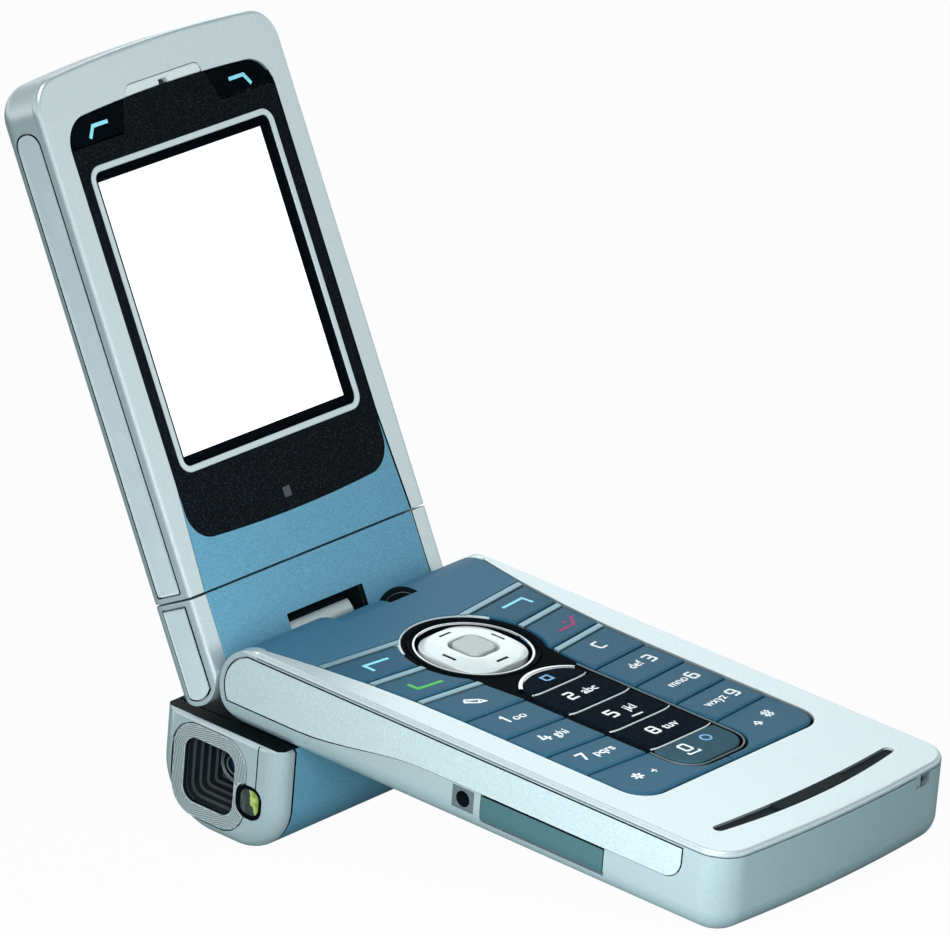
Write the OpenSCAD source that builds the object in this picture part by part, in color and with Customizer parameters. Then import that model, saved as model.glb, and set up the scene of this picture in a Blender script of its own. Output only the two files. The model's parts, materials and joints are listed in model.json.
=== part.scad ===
// Folding camera phone, standing half open on its camera unit and the front edge of its base.
// X runs across the phone, the keypad lies towards -Y and the lid rises at the back.
// The base is drawn about its hinge axis, the lid about its own, and both are then stood up.

/* [Base] */
// Width of the base, the lid and the camera unit
body_w = 51; // [50:0.5:56]
// Base hinge axis to the front end of the base
base_reach = 86; // [84:0.5:96]
// Thickness of the base, which is round at its hinge end
base_t = 13; // [12.5:0.25:15]
// Corner radius of the base and the lid, seen from above
corner_r = 5; // [4:0.25:7]
// Rise of the bowed front end and lid tip, between their corners
bow_rise = 0.82; // [0.5:0.02:1.6]
// Rounding of the lower edge of the base, all round
base_edge_r = 4; // [3:0.25:4]
// Rounding of the edges round the key and display faces
face_edge_r = 0.7; // [0.4:0.1:0.8]
// Wall of the base and lid housings
wall = 1.4; // [1.2:0.1:1.8]
// Thickness of the top frame and of the wrapped hinge panels
rim_t = 0.9; // [0.8:0.1:1.2]
// Thickness of the inlaid side panels
inlay_t = 0.7; // [0.5:0.1:0.9]
// Width of the silver rim beside a side panel's round end
side_rim = 0.8; // [0.6:0.1:1.5]
// Height of the side panel at the front and at the hinge end
side_panel_h = [5.2, 8.1]; // [4:0.1:9]
// Where the side panel widens, from its front height to its hinge height
side_panel_sweep = [-32, -8]; // [-40:0.5:-4]
// Front end of the base to the front end of the side panel
side_panel_inset = 8.4; // [7:0.2:14]
// Corner radius at the lower front of the side panel
side_panel_r = 3; // [1:0.25:4]
// Front end of the base to the middle of the microphone slot's front edge
mic_inset = 5.3; // [3.5:0.1:6]
// Half length of the microphone slot
mic_half = 19.6; // [16:0.1:20]
// Bow of the microphone slot's front and back edges, from its ends to its middle
mic_bow = [1.7, 0.9]; // [0.5:0.1:4]
// Width of the microphone slot at its middle
mic_w = 2.5; // [2:0.1:3.2]
// Half length of the raised middle of the microphone slot
mic_middle = 7.5; // [4:0.25:10]

/* [Keypad] */
// Rim between the side of the base and the keys
deck_rim = 5.7; // [5:0.1:7]
// How far the blue deck widens towards the hinge
deck_flare = 3.8; // [2.5:0.1:4]
// Hinge axis to the first row line
first_row = 8.7; // [8.4:0.1:10]
// Pitch of the three rows beside the navigation key
upper_pitch = 8.35; // [8:0.05:8.8]
// Pitch of the number rows
number_pitch = 7.35; // [7:0.05:7.8]
// Height of the last row
last_row_h = 10.2; // [9:0.1:11]
// Fall of the upper and number row lines towards the middle, per millimetre
row_slope = [0.11, 0.065]; // [0:0.005:0.12]
// Corner radius at the lower corners of the deck
deck_corner_r = 4; // [2:0.25:5]
// Gap between the deck and the top frame
deck_gap = 0.35; // [0.2:0.05:0.5]
// Gap round a key
key_gap = 0.3; // [0.2:0.05:0.4]
// Travel of a key
key_travel = 0.3; // [0.2:0.05:0.4]
// Height of a key cap
key_h = 2.5; // [2:0.1:2.8]
// Width of the silver bars between the upper keys
bar_w = 1.2; // [0.8:0.1:1.4]
// Half width of the dark centre strip
strip_half = 7.45; // [7:0.05:8]
// First row line to the middle of the navigation key
nav_drop = 9.7; // [9.5:0.1:10.6]
// Radius of the dark well round the navigation key
nav_well_r = 10.5; // [10:0.1:11]
// Outer and inner radius of the navigation bezel
nav_bezel_r = [9.7, 8.5]; // [8.2:0.1:9.9]
// Half width and corner radius of the navigation key
nav_size = [6.9, 4.6]; // [4:0.1:7]
// Half width and corner radius of the select key
select_size = [2.9, 1.7]; // [1.2:0.1:3.4]
// Radius of the dome on the navigation key
nav_dome_r = 45; // [30:1:80]
// Height of the navigation key above the top of the base
nav_rise = 0.25; // [0:0.05:0.3]
// Menu key: half width, height and radius of its upper corners
menu_size = [5.85, 4.5, 3.2]; // [2.5:0.05:6]

/* [Base fittings] */
// Thickness of the circuit board
board_t = 1; // [0.8:0.1:1.2]
// Thickness of the key mat
mat_t = 0.8; // [0.6:0.1:1]
// Hinge axis to the near and far ends of the battery bay
bay_y = [9.2, 36.2]; // [9:0.1:36.4]
// Side of the base to the battery bay
bay_inset = 5.4; // [5.3:0.1:8]
// Thickness of the battery cover
cover_t = 1.2; // [1:0.1:1.4]
// Overlap of the battery cover round its bay
cover_lap = 1.3; // [1:0.1:1.3]
// Hinge axis to the middle of the charging socket
socket_y = 38.9; // [38.8:0.05:39]
// Width and height of the charging socket's plate
socket_plate = [3.9, 3.4]; // [3.3:0.05:4]
// Radius of the charging socket's hole
socket_hole_r = 1.2; // [0.8:0.05:1.3]
// Radius of the charging socket's barrel
socket_barrel_r = 1.65; // [1.6:0.05:1.65]
// Depth of the charging socket's hole
socket_depth = 8; // [6:0.25:10]
// Hinge axis to the near and far ends of the card door
door_y = [42, 64.2]; // [41.8:0.1:66]
// Thickness of the card door
door_t = 1.2; // [1:0.05:1.4]
// Height of the card door
door_h = 3.9; // [3.6:0.05:4]
// Depth, width and height of the card slot
slot_size = [22, 18.4, 1.8]; // [1.6:0.1:24]
// Middle of the base to the strap eyelet
strap_x = 18; // [14:0.25:18.5]
// Width, height and depth of the strap eyelet
strap_size = [3.4, 1.9, 2.6]; // [1.5:0.1:4]

/* [Hinges] */
// Gap between the closed base and lid
closed_gap = 0.7; // [0.6:0.05:1]
// Lid hinge axis below the base hinge axis
lid_axis_drop = 1.2; // [0.8:0.1:1.6]
// Radius of the base hinge pin
base_pin_r = 1.6; // [1.2:0.05:1.8]
// Radius of the lid hinge pin
lid_pin_r = 1.4; // [1:0.05:1.6]
// Side of the phone to the end of a hinge pin
pin_inset = 4.5; // [3.5:0.25:8]
// Running clearance round a pin or post
pin_fit = 0.05; // [0.03:0.01:0.08]
// Gap between parts that turn past each other
turn_gap = 0.35; // [0.3:0.05:0.5]
// Radius of the knuckle on the base axis
base_knuckle_r = 5.6; // [5:0.1:5.7]
// Radius of the knuckle on the lid axis
lid_knuckle_r = 3.9; // [3.4:0.1:4]
// Half width of the notches that the knuckles turn in
notch_half = 8.2; // [7:0.1:9]
// Length of the base and lid knuckles
knuckle_len = [11.6, 13.6]; // [8:0.1:14]
// Half thickness of the knuckles' necks
neck_half = [3.8, 2.6]; // [2:0.1:4]
// Thickness of the bracket's foot, set into the camera unit
foot_t = 1; // [0.8:0.1:2]
// Front edge of the base notch, before the hinge axis
notch_front = 1; // [0.5:0.1:1.5]
// Depth of the lid notch above the lid axis
lid_notch_top = 3.4; // [3.2:0.1:4]

/* [Lid] */
// Lid hinge axis to the tip of the lid
lid_reach = 87.6; // [86.5:0.5:96]
// Thickness of the lid, which is round at its hinge end
lid_t = 9.2; // [9:0.1:10]
// Angle between the base and the lid
lid_angle = 118.6; // [100:1:135]
// Lid hinge axis to the swivel seam
seam_reach = 10.5; // [10:0.1:12]
// Gap across the swivel seam
seam_gap = 0.3; // [0.2:0.05:0.5]
// Rounding of the lid's back edge, all round
lid_edge_r = 3.4; // [2:0.1:3.8]
// Height of the lid's front frame
lid_rim_t = 1.3; // [1.1:0.05:1.5]
// Rim beside the blue panel at the seam, and beside the glass
lid_rim = [3.1, 4]; // [2.5:0.1:5]
// Lid hinge axis to the lower end of the glass
glass_low = 17.2; // [16.5:0.1:19]
// Lid tip to the upper end of the glass
glass_inset = 7; // [6.6:0.1:9]
// Corner radius of the glass
glass_r = 4.5; // [3:0.25:5]
// Thickness of the glass
glass_t = 1; // [0.8:0.05:1.1]
// How far the glass lies below the rim
glass_sink = 0.2; // [0.1:0.05:0.3]
// Side of the glass to the visible display
display_side = 4.25; // [4:0.05:6]
// Lid hinge axis to the lower end of the visible display
display_low = 29.65; // [28:0.05:32]
// Upper end of the glass to the upper end of the visible display
display_drop = 10.25; // [9:0.05:12]
// Side and end border of the display module
display_border = [1.2, 1.4]; // [0.8:0.1:1.6]
// Width of the silver ring round the display
ring_w = 1; // [0.6:0.1:1.2]
// Thickness of the display module
display_t = 2; // [1.5:0.1:2.5]
// Height of the lid keys
lid_key_h = 4.6; // [4:0.1:5]
// Middle of the lid to the lower and upper inner corner of a lid key
lid_key_x = [10.6, 8.5]; // [8.2:0.1:13]
// Half width and height of the earpiece
earpiece_size = [7.9, 1.6]; // [1.4:0.1:8]
// Half width of the sound slot in the earpiece
earpiece_slot = 0.9; // [0.5:0.1:2]
// Lower and upper edge of the lid's side trims, from the middle of its thickness
trim_z = [-2, 3]; // [-2.4:0.1:3.1]
// Lid tip to the end of the side trims
trim_inset = 7.5; // [7:0.25:12]
// Radius of the swivel post
post_r = 2.2; // [1.8:0.05:2.3]
// Length of the swivel post in the upper lid
post_len = 11; // [8:0.5:13]
// Side of the lid to the outer window on its back
cover_window_side = 11.5; // [8:0.5:16]
// Lid tip to the upper end of the outer window
cover_window_inset = 13.6; // [8:0.1:18]
// Height of the outer window
cover_window_h = 28; // [16:0.5:34]
// Corner radius of the outer window
cover_window_r = 3; // [2:0.25:5]

/* [Camera unit] */
// Height of the camera unit below its flat top
unit_h = 17.4; // [16:0.1:20]
// Gap between the base and the flat top of the unit
unit_gap = 0.9; // [0.7:0.05:1.2]
// Offset of the unit towards the lid, from the closed base and lid
unit_shift = 0.6; // [0:0.05:0.8]
// Rounding of the unit's lower front and lower back edges
unit_r = [8, 10]; // [6:0.25:11]
// Rounding of the unit's ends
unit_end_r = 3; // [2:0.25:3.5]
// Depth of the silver end caps
cap_depth = 3; // [2.5:0.1:4]
// Lens window: half width, half height and corner radius
window_size = [4.8, 5.1, 2.2]; // [2:0.05:5.3]
// Middle of the lens window from the unit's front and from its flat top
window_pos = [13.2, 8.1]; // [8:0.1:13.8]
// Border of the plate round the lens window
plate_border = 2.2; // [1.8:0.1:2.4]
// Thickness of the plate round the lens window
plate_t = 0.9; // [0.7:0.05:1.2]
// Number of steps of the baffle behind the window
baffle_steps = 5; // [3:1:6]
// Depth and inset of each step of the baffle
baffle_step = [1.1, 0.5]; // [0.3:0.05:1.4]
// Radius of the lens
lens_r = 2.1; // [1.6:0.05:2.2]
// Radius of the lens dome
lens_dome_r = 4; // [3:0.1:8]
// Front of the unit to the seam beside the lens
cap_seam = 4.2; // [3.2:0.1:5]
// Flash window: half width, half height and corner radius
flash_size = [2.3, 2.5, 1.9]; // [1.5:0.1:2.8]
// Middle of the flash from the unit's front and from its flat top
flash_pos = [5.4, 9.3]; // [5:0.1:10]

/* [Hidden] */
$fn = 64;
bow_fn = 720;
silver = "#c7d3d6";
satin = "#b4c3c7";
blue_grey = "#567a94";
black_gloss = "#12161c";
pearl = "#e4e8e6";
steel = "#9aa1a6";
board_green = "#2f5a44";
amber = "#b8b03c";

// Radius of the arc with a given half chord and rise, and of the bowed ends
function arc_r(half, rise) = (half * half + rise * rise) / (2 * rise);
bow_r = arc_r(body_w / 2 - corner_r, bow_rise) + corner_r;

// Small gaps: parts laid against each other, parts dropped into a seat, and pressed pins
lay_gap = 0.1;
seat_gap = 0.2;
press_gap = 0.02;
past = 1;

// Common radii and levels of the base, from its hinge axis
r1 = base_t / 2;
r2 = lid_t / 2;
rim_z = r1 - rim_t;
key_top = r1 - 0.1;
key_low = key_top - key_h;
mat_top = key_low - key_travel - lay_gap;
board_top = mat_top - mat_t;
deck_z = board_top - board_t;
well_margin = 1.1;
well_back = first_row - well_margin;
board_gap = 0.3;
lip_size = [0.9, 1.5];
side_panel_top = rim_z - seat_gap;
seam_front_z = side_panel_top - side_panel_h[0];
seam_back_z = side_panel_top - side_panel_h[1];
bay_top = deck_z - wall;
bay_half = body_w / 2 - bay_inset;
cover_r = 2;
low_fit_z = seam_front_z - seat_gap;
socket_z = low_fit_z - socket_plate[1] / 2;
slot_drop = 2.6;
wrap_low = 0.55;
mic_y = -base_reach + mic_inset;
mic_depth = 0.5;
mic_floor = 0.15;
strap_post = [0.5, 1.1];

// Row lines of the keypad
function row_y(i) = -first_row - min(i, 3) * upper_pitch - max(i - 3, 0) * number_pitch;
flare_y = row_y(3);
deck_low = row_y(6) - last_row_h;
nav_y = -first_row - nav_drop;
strip_margin = 1.6;
strip_low = deck_low + strip_margin;
strip_r = 4.5;
key_r = 0.4;
strip_border = 0.9;
strip_sink = 0.2;
bezel_lip = 0.3;
bezel_dish = 0.8;
function deck_half(y) =
    body_w / 2 - deck_rim + deck_flare * pow(max(0, (min(y, 0) - flare_y) / -flare_y), 2);
function slope(i) = i < 3 ? row_slope[0] : row_slope[1];
function row_line(i, x) = row_y(i) - slope(i) * (deck_half(row_y(i)) - x);
function row_room(i) = i < 3 ? bar_w / 2 + key_gap : key_gap / 2;

// Lid axis, and levels of the lid from its own axis
lid_axis = [0, r1 + r2 + closed_gap, -lid_axis_drop];
frame_z = r2 - lid_rim_t;
lid_low = seam_reach + seam_gap;
glass_top = r2 - glass_sink;
glass_half = body_w / 2 - lid_rim[1];
glass_y = [glass_low, lid_reach - glass_inset];
glass_middle = (glass_y[0] + glass_y[1]) / 2;
display_w = 2 * (glass_half - display_side);
display_h = glass_y[1] - display_drop - display_low;
display_y = display_low + display_h / 2;
display_half = [display_w / 2 + display_border[0], display_h / 2 + display_border[1]];
display_r = 1.2;
display_sink = 0.3;
trim_rim = 0.7;
trim_end_r = 2.2;
post_seat = 5;
cover_window_t = 0.8;
lid_key_gap = 0.25;
lid_key_room = 0.6;
earpiece_slot_h = 0.8;

// Camera unit
flat_z = -r1 - unit_gap;
unit_low = flat_z - unit_h;
unit_front = -r1 + unit_shift;
unit_back = lid_axis[1] + r2 + unit_shift;
cap_x = body_w / 2 - cap_depth;
window_at = [unit_front + window_pos[0], flat_z - window_pos[1]];
flash_at = [unit_front + flash_pos[0], flat_z - flash_pos[1]];
plate_sink = 0.1;
plate_x = -body_w / 2 + plate_sink;
baffle_x = plate_x + plate_t;
baffle_end = baffle_x + baffle_steps * baffle_step[0];
baffle_fit = 0.4;
lens_seat_t = 1.4;
lens_rise = 0.6;
flash_t = cap_depth - 0.8;
cap_seam_w = 0.2;

// Card door pivot
door_pivot = [-body_w / 2 + door_t / 2, low_fit_z - door_h + door_t / 2];
trunnion = [0.35, 0.5];

// Tilt at which the unit's lower front edge and the base's lower front edge stand on one plane
foot = [unit_front + unit_r[0], unit_low + unit_r[0]];
toe = [-base_reach + base_edge_r, -r1 + base_edge_r];
foot_span = norm(foot - toe);
tilt = atan2(toe[1] - foot[1], foot[0] - toe[0]) - asin((base_edge_r - unit_r[0]) / foot_span);
stand_z = unit_r[0] - foot[0] * sin(tilt) - foot[1] * cos(tilt);
lean = 180 - lid_angle + tilt;
y_low = (face_edge_r - base_reach) * cos(tilt) - (r1 - face_edge_r) * sin(tilt) - face_edge_r;
y_high = lid_axis[1] * cos(tilt) - lid_axis[2] * sin(tilt)
    + (lid_reach - lid_edge_r) * cos(lean) + (r2 - lid_edge_r) * sin(lean) + lid_edge_r;
stand_y = -(y_low + y_high) / 2;

// Frames: stand() puts the base on the floor, on_lid() hangs the lid on its axis
module stand() translate([0, stand_y, stand_z]) rotate([tilt, 0, 0]) children();
module on_lid() stand() translate(lid_axis) rotate([180 - lid_angle, 0, 0]) children();

// Extrusions of a (y, z), an (x, z) and an (x, y) profile between two stations
module along_x(x0, x1) translate([x0, 0, 0]) rotate([90, 0, 90]) linear_extrude(x1 - x0) children();
module along_y(y0, y1) translate([0, y1, 0]) rotate([90, 0, 0]) linear_extrude(y1 - y0) children();
module along_z(z0, z1) translate([0, 0, z0]) linear_extrude(z1 - z0) children();
module both_sides() for (s = [0, 1]) mirror([s, 0, 0]) children();

// Box with its own radius at each corner, anticlockwise from the lower left
function corner_points(c, r, y_first) =
    r <= 0 ? [[c[0], c[1]]] :
    y_first ? [[c[0], c[1] + c[3] * r], [c[0] + c[2] * r, c[1]]] :
    [[c[0] + c[2] * r, c[1]], [c[0], c[1] + c[3] * r]];
module round_box(x0, y0, x1, y1, r) {
    corners = [[x0, y0, 1, 1], [x1, y0, -1, 1], [x1, y1, -1, -1], [x0, y1, 1, -1]];
    polygon([for (i = [0:3]) each corner_points(corners[i], r[i], i % 2 == 0)]);
    for (i = [0:3])
        if (r[i] > 0)
            intersection() {
                translate([corners[i][0] + corners[i][2] * r[i], corners[i][1] + corners[i][3] * r[i]])
                    circle(r[i]);
                translate([x0, y0]) square([x1 - x0, y1 - y0]);
            }
}
module even_box(at, half, r) round_box(
    at[0] - half[0], at[1] - half[1], at[0] + half[0], at[1] + half[1], [r, r, r, r]);

// Plan with a straight end at y0 and a bowed tip with round corners
module bowed_plan(half, y0, tip, rc, rb) {
    bow_y = tip - rb;
    xc = half - rc;
    yc = bow_y + sqrt(pow(rb - rc, 2) - xc * xc);
    out = (rb + 2) / (rb - rc);
    out_y = bow_y + (yc - bow_y) * out;
    difference() {
        intersection() {
            translate([-half, y0]) square([2 * half, tip - y0 + 1]);
            translate([0, bow_y]) circle(rb, $fn = bow_fn);
        }
        both_sides() difference() {
            polygon([[xc, yc], [half + past, yc], [half + past, out_y], [xc * out, out_y]]);
            translate([xc, yc]) circle(rc);
        }
    }
}

// Body of the full width with a straight end at y0, a bowed tip and round corners; the lower and upper
// edges are rolled all round
module edge_disc(s, z, r) rotate_extrude($fn = s > body_w ? bow_fn : 2 * $fn)
    round_box(0, z[0], s, z[1], [0, r[0], r[1], 0]);
module rolled_form(y0, tip, z, r) {
    half = body_w / 2;
    xc = half - corner_r;
    yc = tip - corner_r - bow_rise;
    out = (bow_r + past) / (bow_r - corner_r);
    out_y = tip - bow_r + (yc - tip + bow_r) * out;
    difference() {
        intersection() {
            along_y(y0, tip + past) round_box(-half, z[0], half, z[1], [r[0], r[0], r[1], r[1]]);
            translate([0, tip - bow_r, 0]) edge_disc(bow_r, z, r);
        }
        both_sides() difference() {
            along_z(z[0] - past, z[1] + past)
                polygon([[xc, yc], [half + past, yc], [half + past, out_y], [xc * out, out_y]]);
            translate([xc, yc, 0]) edge_disc(corner_r, z, r);
        }
    }
}

// Outer form of the base, its plan and its side drawn in by d
module base_plan(d) mirror([0, 1])
    bowed_plan(body_w / 2 - d, -r1 - past, base_reach - d, corner_r - d, bow_r - d);
module base_side(d) {
    circle(r1 - d);
    translate([-base_reach - past, -r1 + d]) square([base_reach + past, base_t - 2 * d]);
}
module base_form() intersection() {
    mirror([0, 1, 0])
        rolled_form(-r1 - past, base_reach, [-r1, r1], [base_edge_r, face_edge_r]);
    along_x(-body_w, body_w) base_side(0);
}

// Keypad deck and the dark strip down its middle, grown by d
module deck_outline(d) {
    half = deck_half(deck_low) + d;
    r = deck_corner_r + d;
    low = deck_low - d;
    stations = concat([r1 + 1, 0, -first_row / 2], [for (i = [0:3]) row_y(i)], [low]);
    right = [for (y = stations) [deck_half(y) + d, y]];
    difference() {
        polygon(concat(right, [for (i = [len(right) - 1:-1:0]) [-right[i][0], right[i][1]]]));
        both_sides() translate([half - r, low + r]) difference() {
            translate([0, -r - 1]) square(r + 1);
            circle(r);
        }
    }
}
module strip_outline(d) {
    shoulder_y = nav_y - 0.6 * nav_well_r;
    shoulder = 0.8 * (nav_well_r + d);
    r = strip_r + d;
    half = strip_half + d;
    translate([0, nav_y]) circle(nav_well_r + d);
    polygon([[-shoulder, shoulder_y], [-half, row_y(3)], [half, row_y(3)], [shoulder, shoulder_y]]);
    round_box(-half, strip_low - d, half, row_y(3) + past, [r, r, 0, 0]);
}
// Band across the deck between two row lines, each moved by its own shift
module row_band(i, shift_i, j, shift_j) polygon([
    [0, row_line(i, 0) + shift_i], [body_w, row_line(i, body_w) + shift_i],
    [body_w, row_line(j, body_w) + shift_j], [0, row_line(j, 0) + shift_j]]);

// Side panel of the base, from the S-shaped seam up to the top frame
module side_panel_profile() {
    front = -base_reach + side_panel_inset;
    r = side_panel_r;
    steps = 8;
    sweep = [for (i = [0:steps])
        let (t = i / steps, s = t * t * (3 - 2 * t))
        [side_panel_sweep[0] + t * (side_panel_sweep[1] - side_panel_sweep[0]),
         seam_front_z + s * (seam_back_z - seam_front_z)]];
    intersection() {
        union() {
            polygon(concat([[r1, side_panel_top], [front, side_panel_top],
                [front, seam_front_z + r], [front + r, seam_front_z]], sweep, [[r1, seam_back_z]]));
            translate([front + r, seam_front_z + r]) circle(r);
        }
        union() {
            circle(r1 - side_rim);
            translate([-base_reach, -base_t]) square([base_reach, 2 * base_t]);
        }
        translate([-base_reach, side_panel_top - base_t]) square([base_reach + r1, base_t]);
    }
}
module base_side_inlay(t) both_sides()
    along_x(body_w / 2 - t, body_w / 2 + 1) side_panel_profile();

// Blue panel over the round hinge end of the base
module hinge_end_form() intersection() {
    along_x(-body_w, body_w) difference() {
        intersection() {
            base_side(0);
            translate([-base_reach, -r1 * wrap_low]) square(2 * base_reach);
        }
        base_side(rim_t);
        translate([-base_reach, -base_t]) square([base_reach, base_t]);
    }
    along_z(-base_t, base_t) difference() {
        intersection() {
            deck_outline(0);
            both_sides() polygon([[0, base_t], [body_w, base_t],
                [body_w, row_line(0, body_w) + bar_w / 2], [0, row_line(0, 0) + bar_w / 2]]);
        }
        strip_outline(lay_gap);
    }
}
// Notch in the hinge end that the base knuckle turns in
module base_notch() along_x(-notch_half, notch_half) {
    circle(base_knuckle_r + turn_gap);
    translate([-notch_front, -base_t]) square(2 * base_t);
    translate([-neck_half[0] - turn_gap, -2 * base_t]) square(2 * base_t);
}
// Crescent slot for the microphone with round ends, drawn in by d
function mic_edge(x, i) = mic_y + i * mic_w + mic_bow[i] * pow(x / mic_half, 2);
mic_end_r = (mic_w + mic_bow[1] - mic_bow[0]) / 2;
module mic_slot(d) {
    steps = 20;
    xe = mic_half - mic_end_r;
    end = [xe, (mic_edge(xe, 0) + mic_edge(xe, 1)) / 2];
    r = (mic_edge(xe, 1) - mic_edge(xe, 0)) / 2 - d;
    front = [for (i = [-steps:steps]) [xe * i / steps, mic_edge(xe * i / steps, 0) + d]];
    back = [for (i = [steps:-1:-steps]) [xe * i / steps, mic_edge(xe * i / steps, 1) - d]];
    right = [for (a = [-75:15:75]) end + r * [cos(a), sin(a)]];
    left = [for (i = [len(right) - 1:-1:0]) [-right[i][0], right[i][1]]];
    polygon(concat(front, right, back, left));
}
// Outline of the card door seen along its pivot, with room r round it
module door_profile(room) {
    x0 = -body_w / 2;
    translate(door_pivot) circle(door_t / 2 + room);
    translate([x0 - 2 * room, door_pivot[1]])
        square([door_t + 3 * room, low_fit_z - door_pivot[1] + room]);
}

module keypad_frame() color(silver) stand() {
    difference() {
        intersection() {
            base_form();
            translate([-body_w, -2 * base_reach, rim_z]) cube([2 * body_w, 2 * base_reach, base_t]);
        }
        along_z(rim_z - past, base_t) deck_outline(deck_gap);
        along_z(r1 - mic_depth, base_t) mic_slot(0);
    }
    // Lip that drops inside the housing wall
    intersection() {
        difference() {
            along_z(rim_z - lip_size[1], rim_z) base_plan(wall + lay_gap);
            along_z(rim_z - lip_size[1] - past, rim_z + past) base_plan(wall + lay_gap + lip_size[0]);
        }
        translate([-body_w, -2 * base_reach, 0])
            cube([2 * body_w, 2 * base_reach - well_back - seat_gap, base_t]);
    }
}

module lower_housing() color(silver) stand() difference() {
    base_form();
    translate([-body_w, -2 * base_reach, rim_z]) cube([2 * body_w, 2 * base_reach, base_t]);
    // Well for the board, the mat and the keys
    along_z(deck_z, base_t) intersection() {
        base_plan(wall);
        translate([-body_w, -2 * base_reach]) square([2 * body_w, 2 * base_reach - well_back]);
    }
    base_side_inlay(inlay_t);
    hinge_end_form();
    base_notch();
    pin_seat() circle(base_pin_r + pin_fit);
    // Battery bay and the seat of its cover
    translate([-bay_half, -bay_y[1], -base_t])
        cube([2 * bay_half, bay_y[1] - bay_y[0], base_t + bay_top]);
    battery_cover_form();
    // Charging socket
    socket_form();
    // Card door, its trunnions and the slot behind it
    along_y(-door_y[1], -door_y[0]) {
        door_profile(seat_gap);
        translate([-body_w, door_pivot[1] - door_t / 2 - seat_gap])
            square([body_w / 2 + door_t / 2, door_t / 2 + seat_gap]);
    }
    translate([door_pivot[0], -door_y[1] - trunnion[1] - lay_gap, door_pivot[1]]) rotate([-90, 0, 0])
        cylinder(r = trunnion[0] + pin_fit, h = door_y[1] - door_y[0] + 2 * (trunnion[1] + lay_gap));
    translate([-body_w / 2, -(door_y[0] + door_y[1] + slot_size[1]) / 2, low_fit_z - slot_drop])
        cube(slot_size);
    // Strap eyelet, with a post left standing in it
    difference() {
        translate([strap_x - strap_size[0] / 2, -base_reach - past, rim_z - strap_size[1]])
            cube([strap_size[0], strap_size[2] + past + strap_drop(), strap_size[1]]);
        translate([strap_x, -base_reach + strap_post[1] + strap_drop(), 0])
            cylinder(r = strap_post[0], h = base_t);
    }
}
// How far the bowed front end lies back at the strap eyelet
function strap_drop() = bow_r - sqrt(bow_r * bow_r - strap_x * strap_x);

module side_panels() color(satin) stand() intersection() {
    base_side_inlay(inlay_t);
    base_form();
}

module hinge_end_panel() color(blue_grey) stand() difference() {
    hinge_end_form();
    base_notch();
}

module centre_strip() color(black_gloss) stand() along_z(mat_top, key_top - strip_sink) difference() {
    strip_outline(0);
    translate([0, nav_y]) circle(nav_bezel_r[0] + lay_gap);
    for (i = [0:4])
        centre_key_plan(i, key_gap);
}

module nav_bezel() color(black_gloss) stand() translate([0, nav_y, 0]) rotate_extrude() polygon([
    [nav_bezel_r[1], mat_top], [nav_bezel_r[0], mat_top], [nav_bezel_r[0], key_top],
    [nav_bezel_r[0] - bezel_lip, r1], [nav_bezel_r[1], key_top - bezel_dish]]);

module key_bars() color(silver) stand() along_z(mat_top, r1) both_sides() difference() {
    intersection() {
        deck_outline(-lay_gap);
        for (i = [0:2])
            row_band(i, bar_w / 2 - lay_gap, i, -bar_w / 2);
    }
    strip_outline(lay_gap);
}

module key_mat() color(steel) stand() along_z(board_top, mat_top) intersection() {
    deck_outline(0);
    translate([-body_w, -2 * base_reach]) square([2 * body_w, 2 * base_reach - well_back - board_gap]);
}

module main_board() color(board_green) stand() along_z(deck_z, board_top) intersection() {
    base_plan(wall + board_gap);
    translate([-body_w, -2 * base_reach]) square([2 * body_w, 2 * base_reach - well_back - board_gap]);
}

module battery() color(steel) stand()
    translate([-bay_half + seat_gap, -bay_y[1] + seat_gap, -r1 + cover_t])
        cube([2 * (bay_half - seat_gap), bay_y[1] - bay_y[0] - 2 * seat_gap,
            bay_top + r1 - cover_t - seat_gap]);

module battery_cover_form() {
    half = bay_half + cover_lap;
    along_z(-r1, -r1 + cover_t)
        round_box(-half, -bay_y[1] - cover_lap, half, -bay_y[0] + cover_lap, cover_r * [1, 1, 1, 1]);
}
module battery_cover() color(satin) stand() battery_cover_form();

// Charging socket with its plate flush in the side
module socket_form() intersection() {
    union() {
        along_x(-body_w / 2, -body_w / 2 + rim_t)
            translate([-socket_y - socket_plate[0] / 2, socket_z - socket_plate[1] / 2])
                square(socket_plate);
        translate([-body_w / 2, -socket_y, socket_z]) rotate([0, 90, 0])
            cylinder(r = socket_barrel_r, h = socket_depth + past);
    }
    base_form();
}
module charging_socket() color(steel) stand() difference() {
    socket_form();
    translate([-body_w / 2 - past, -socket_y, socket_z]) rotate([0, 90, 0])
        cylinder(r = socket_hole_r, h = socket_depth + past);
}

module mic_trim() color(black_gloss) stand() {
    along_z(r1 - mic_depth, r1 - mic_depth + mic_floor) mic_slot(lay_gap / 2);
    along_z(r1 - mic_depth, r1) intersection() {
        mic_slot(seat_gap);
        translate([-mic_middle, -base_reach]) square([2 * mic_middle, base_reach]);
    }
}

module card_door() color(satin) stand() {
    intersection() {
        along_y(-door_y[1] + lay_gap, -door_y[0] - lay_gap) {
            translate(door_pivot) circle(door_t / 2);
            translate([-body_w / 2, door_pivot[1]]) square([door_t, low_fit_z - door_pivot[1]]);
        }
        base_form();
    }
    translate([door_pivot[0], -door_y[1] - trunnion[1], door_pivot[1]]) rotate([-90, 0, 0])
        cylinder(r = trunnion[0], h = door_y[1] - door_y[0] + 2 * trunnion[1]);
}

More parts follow.
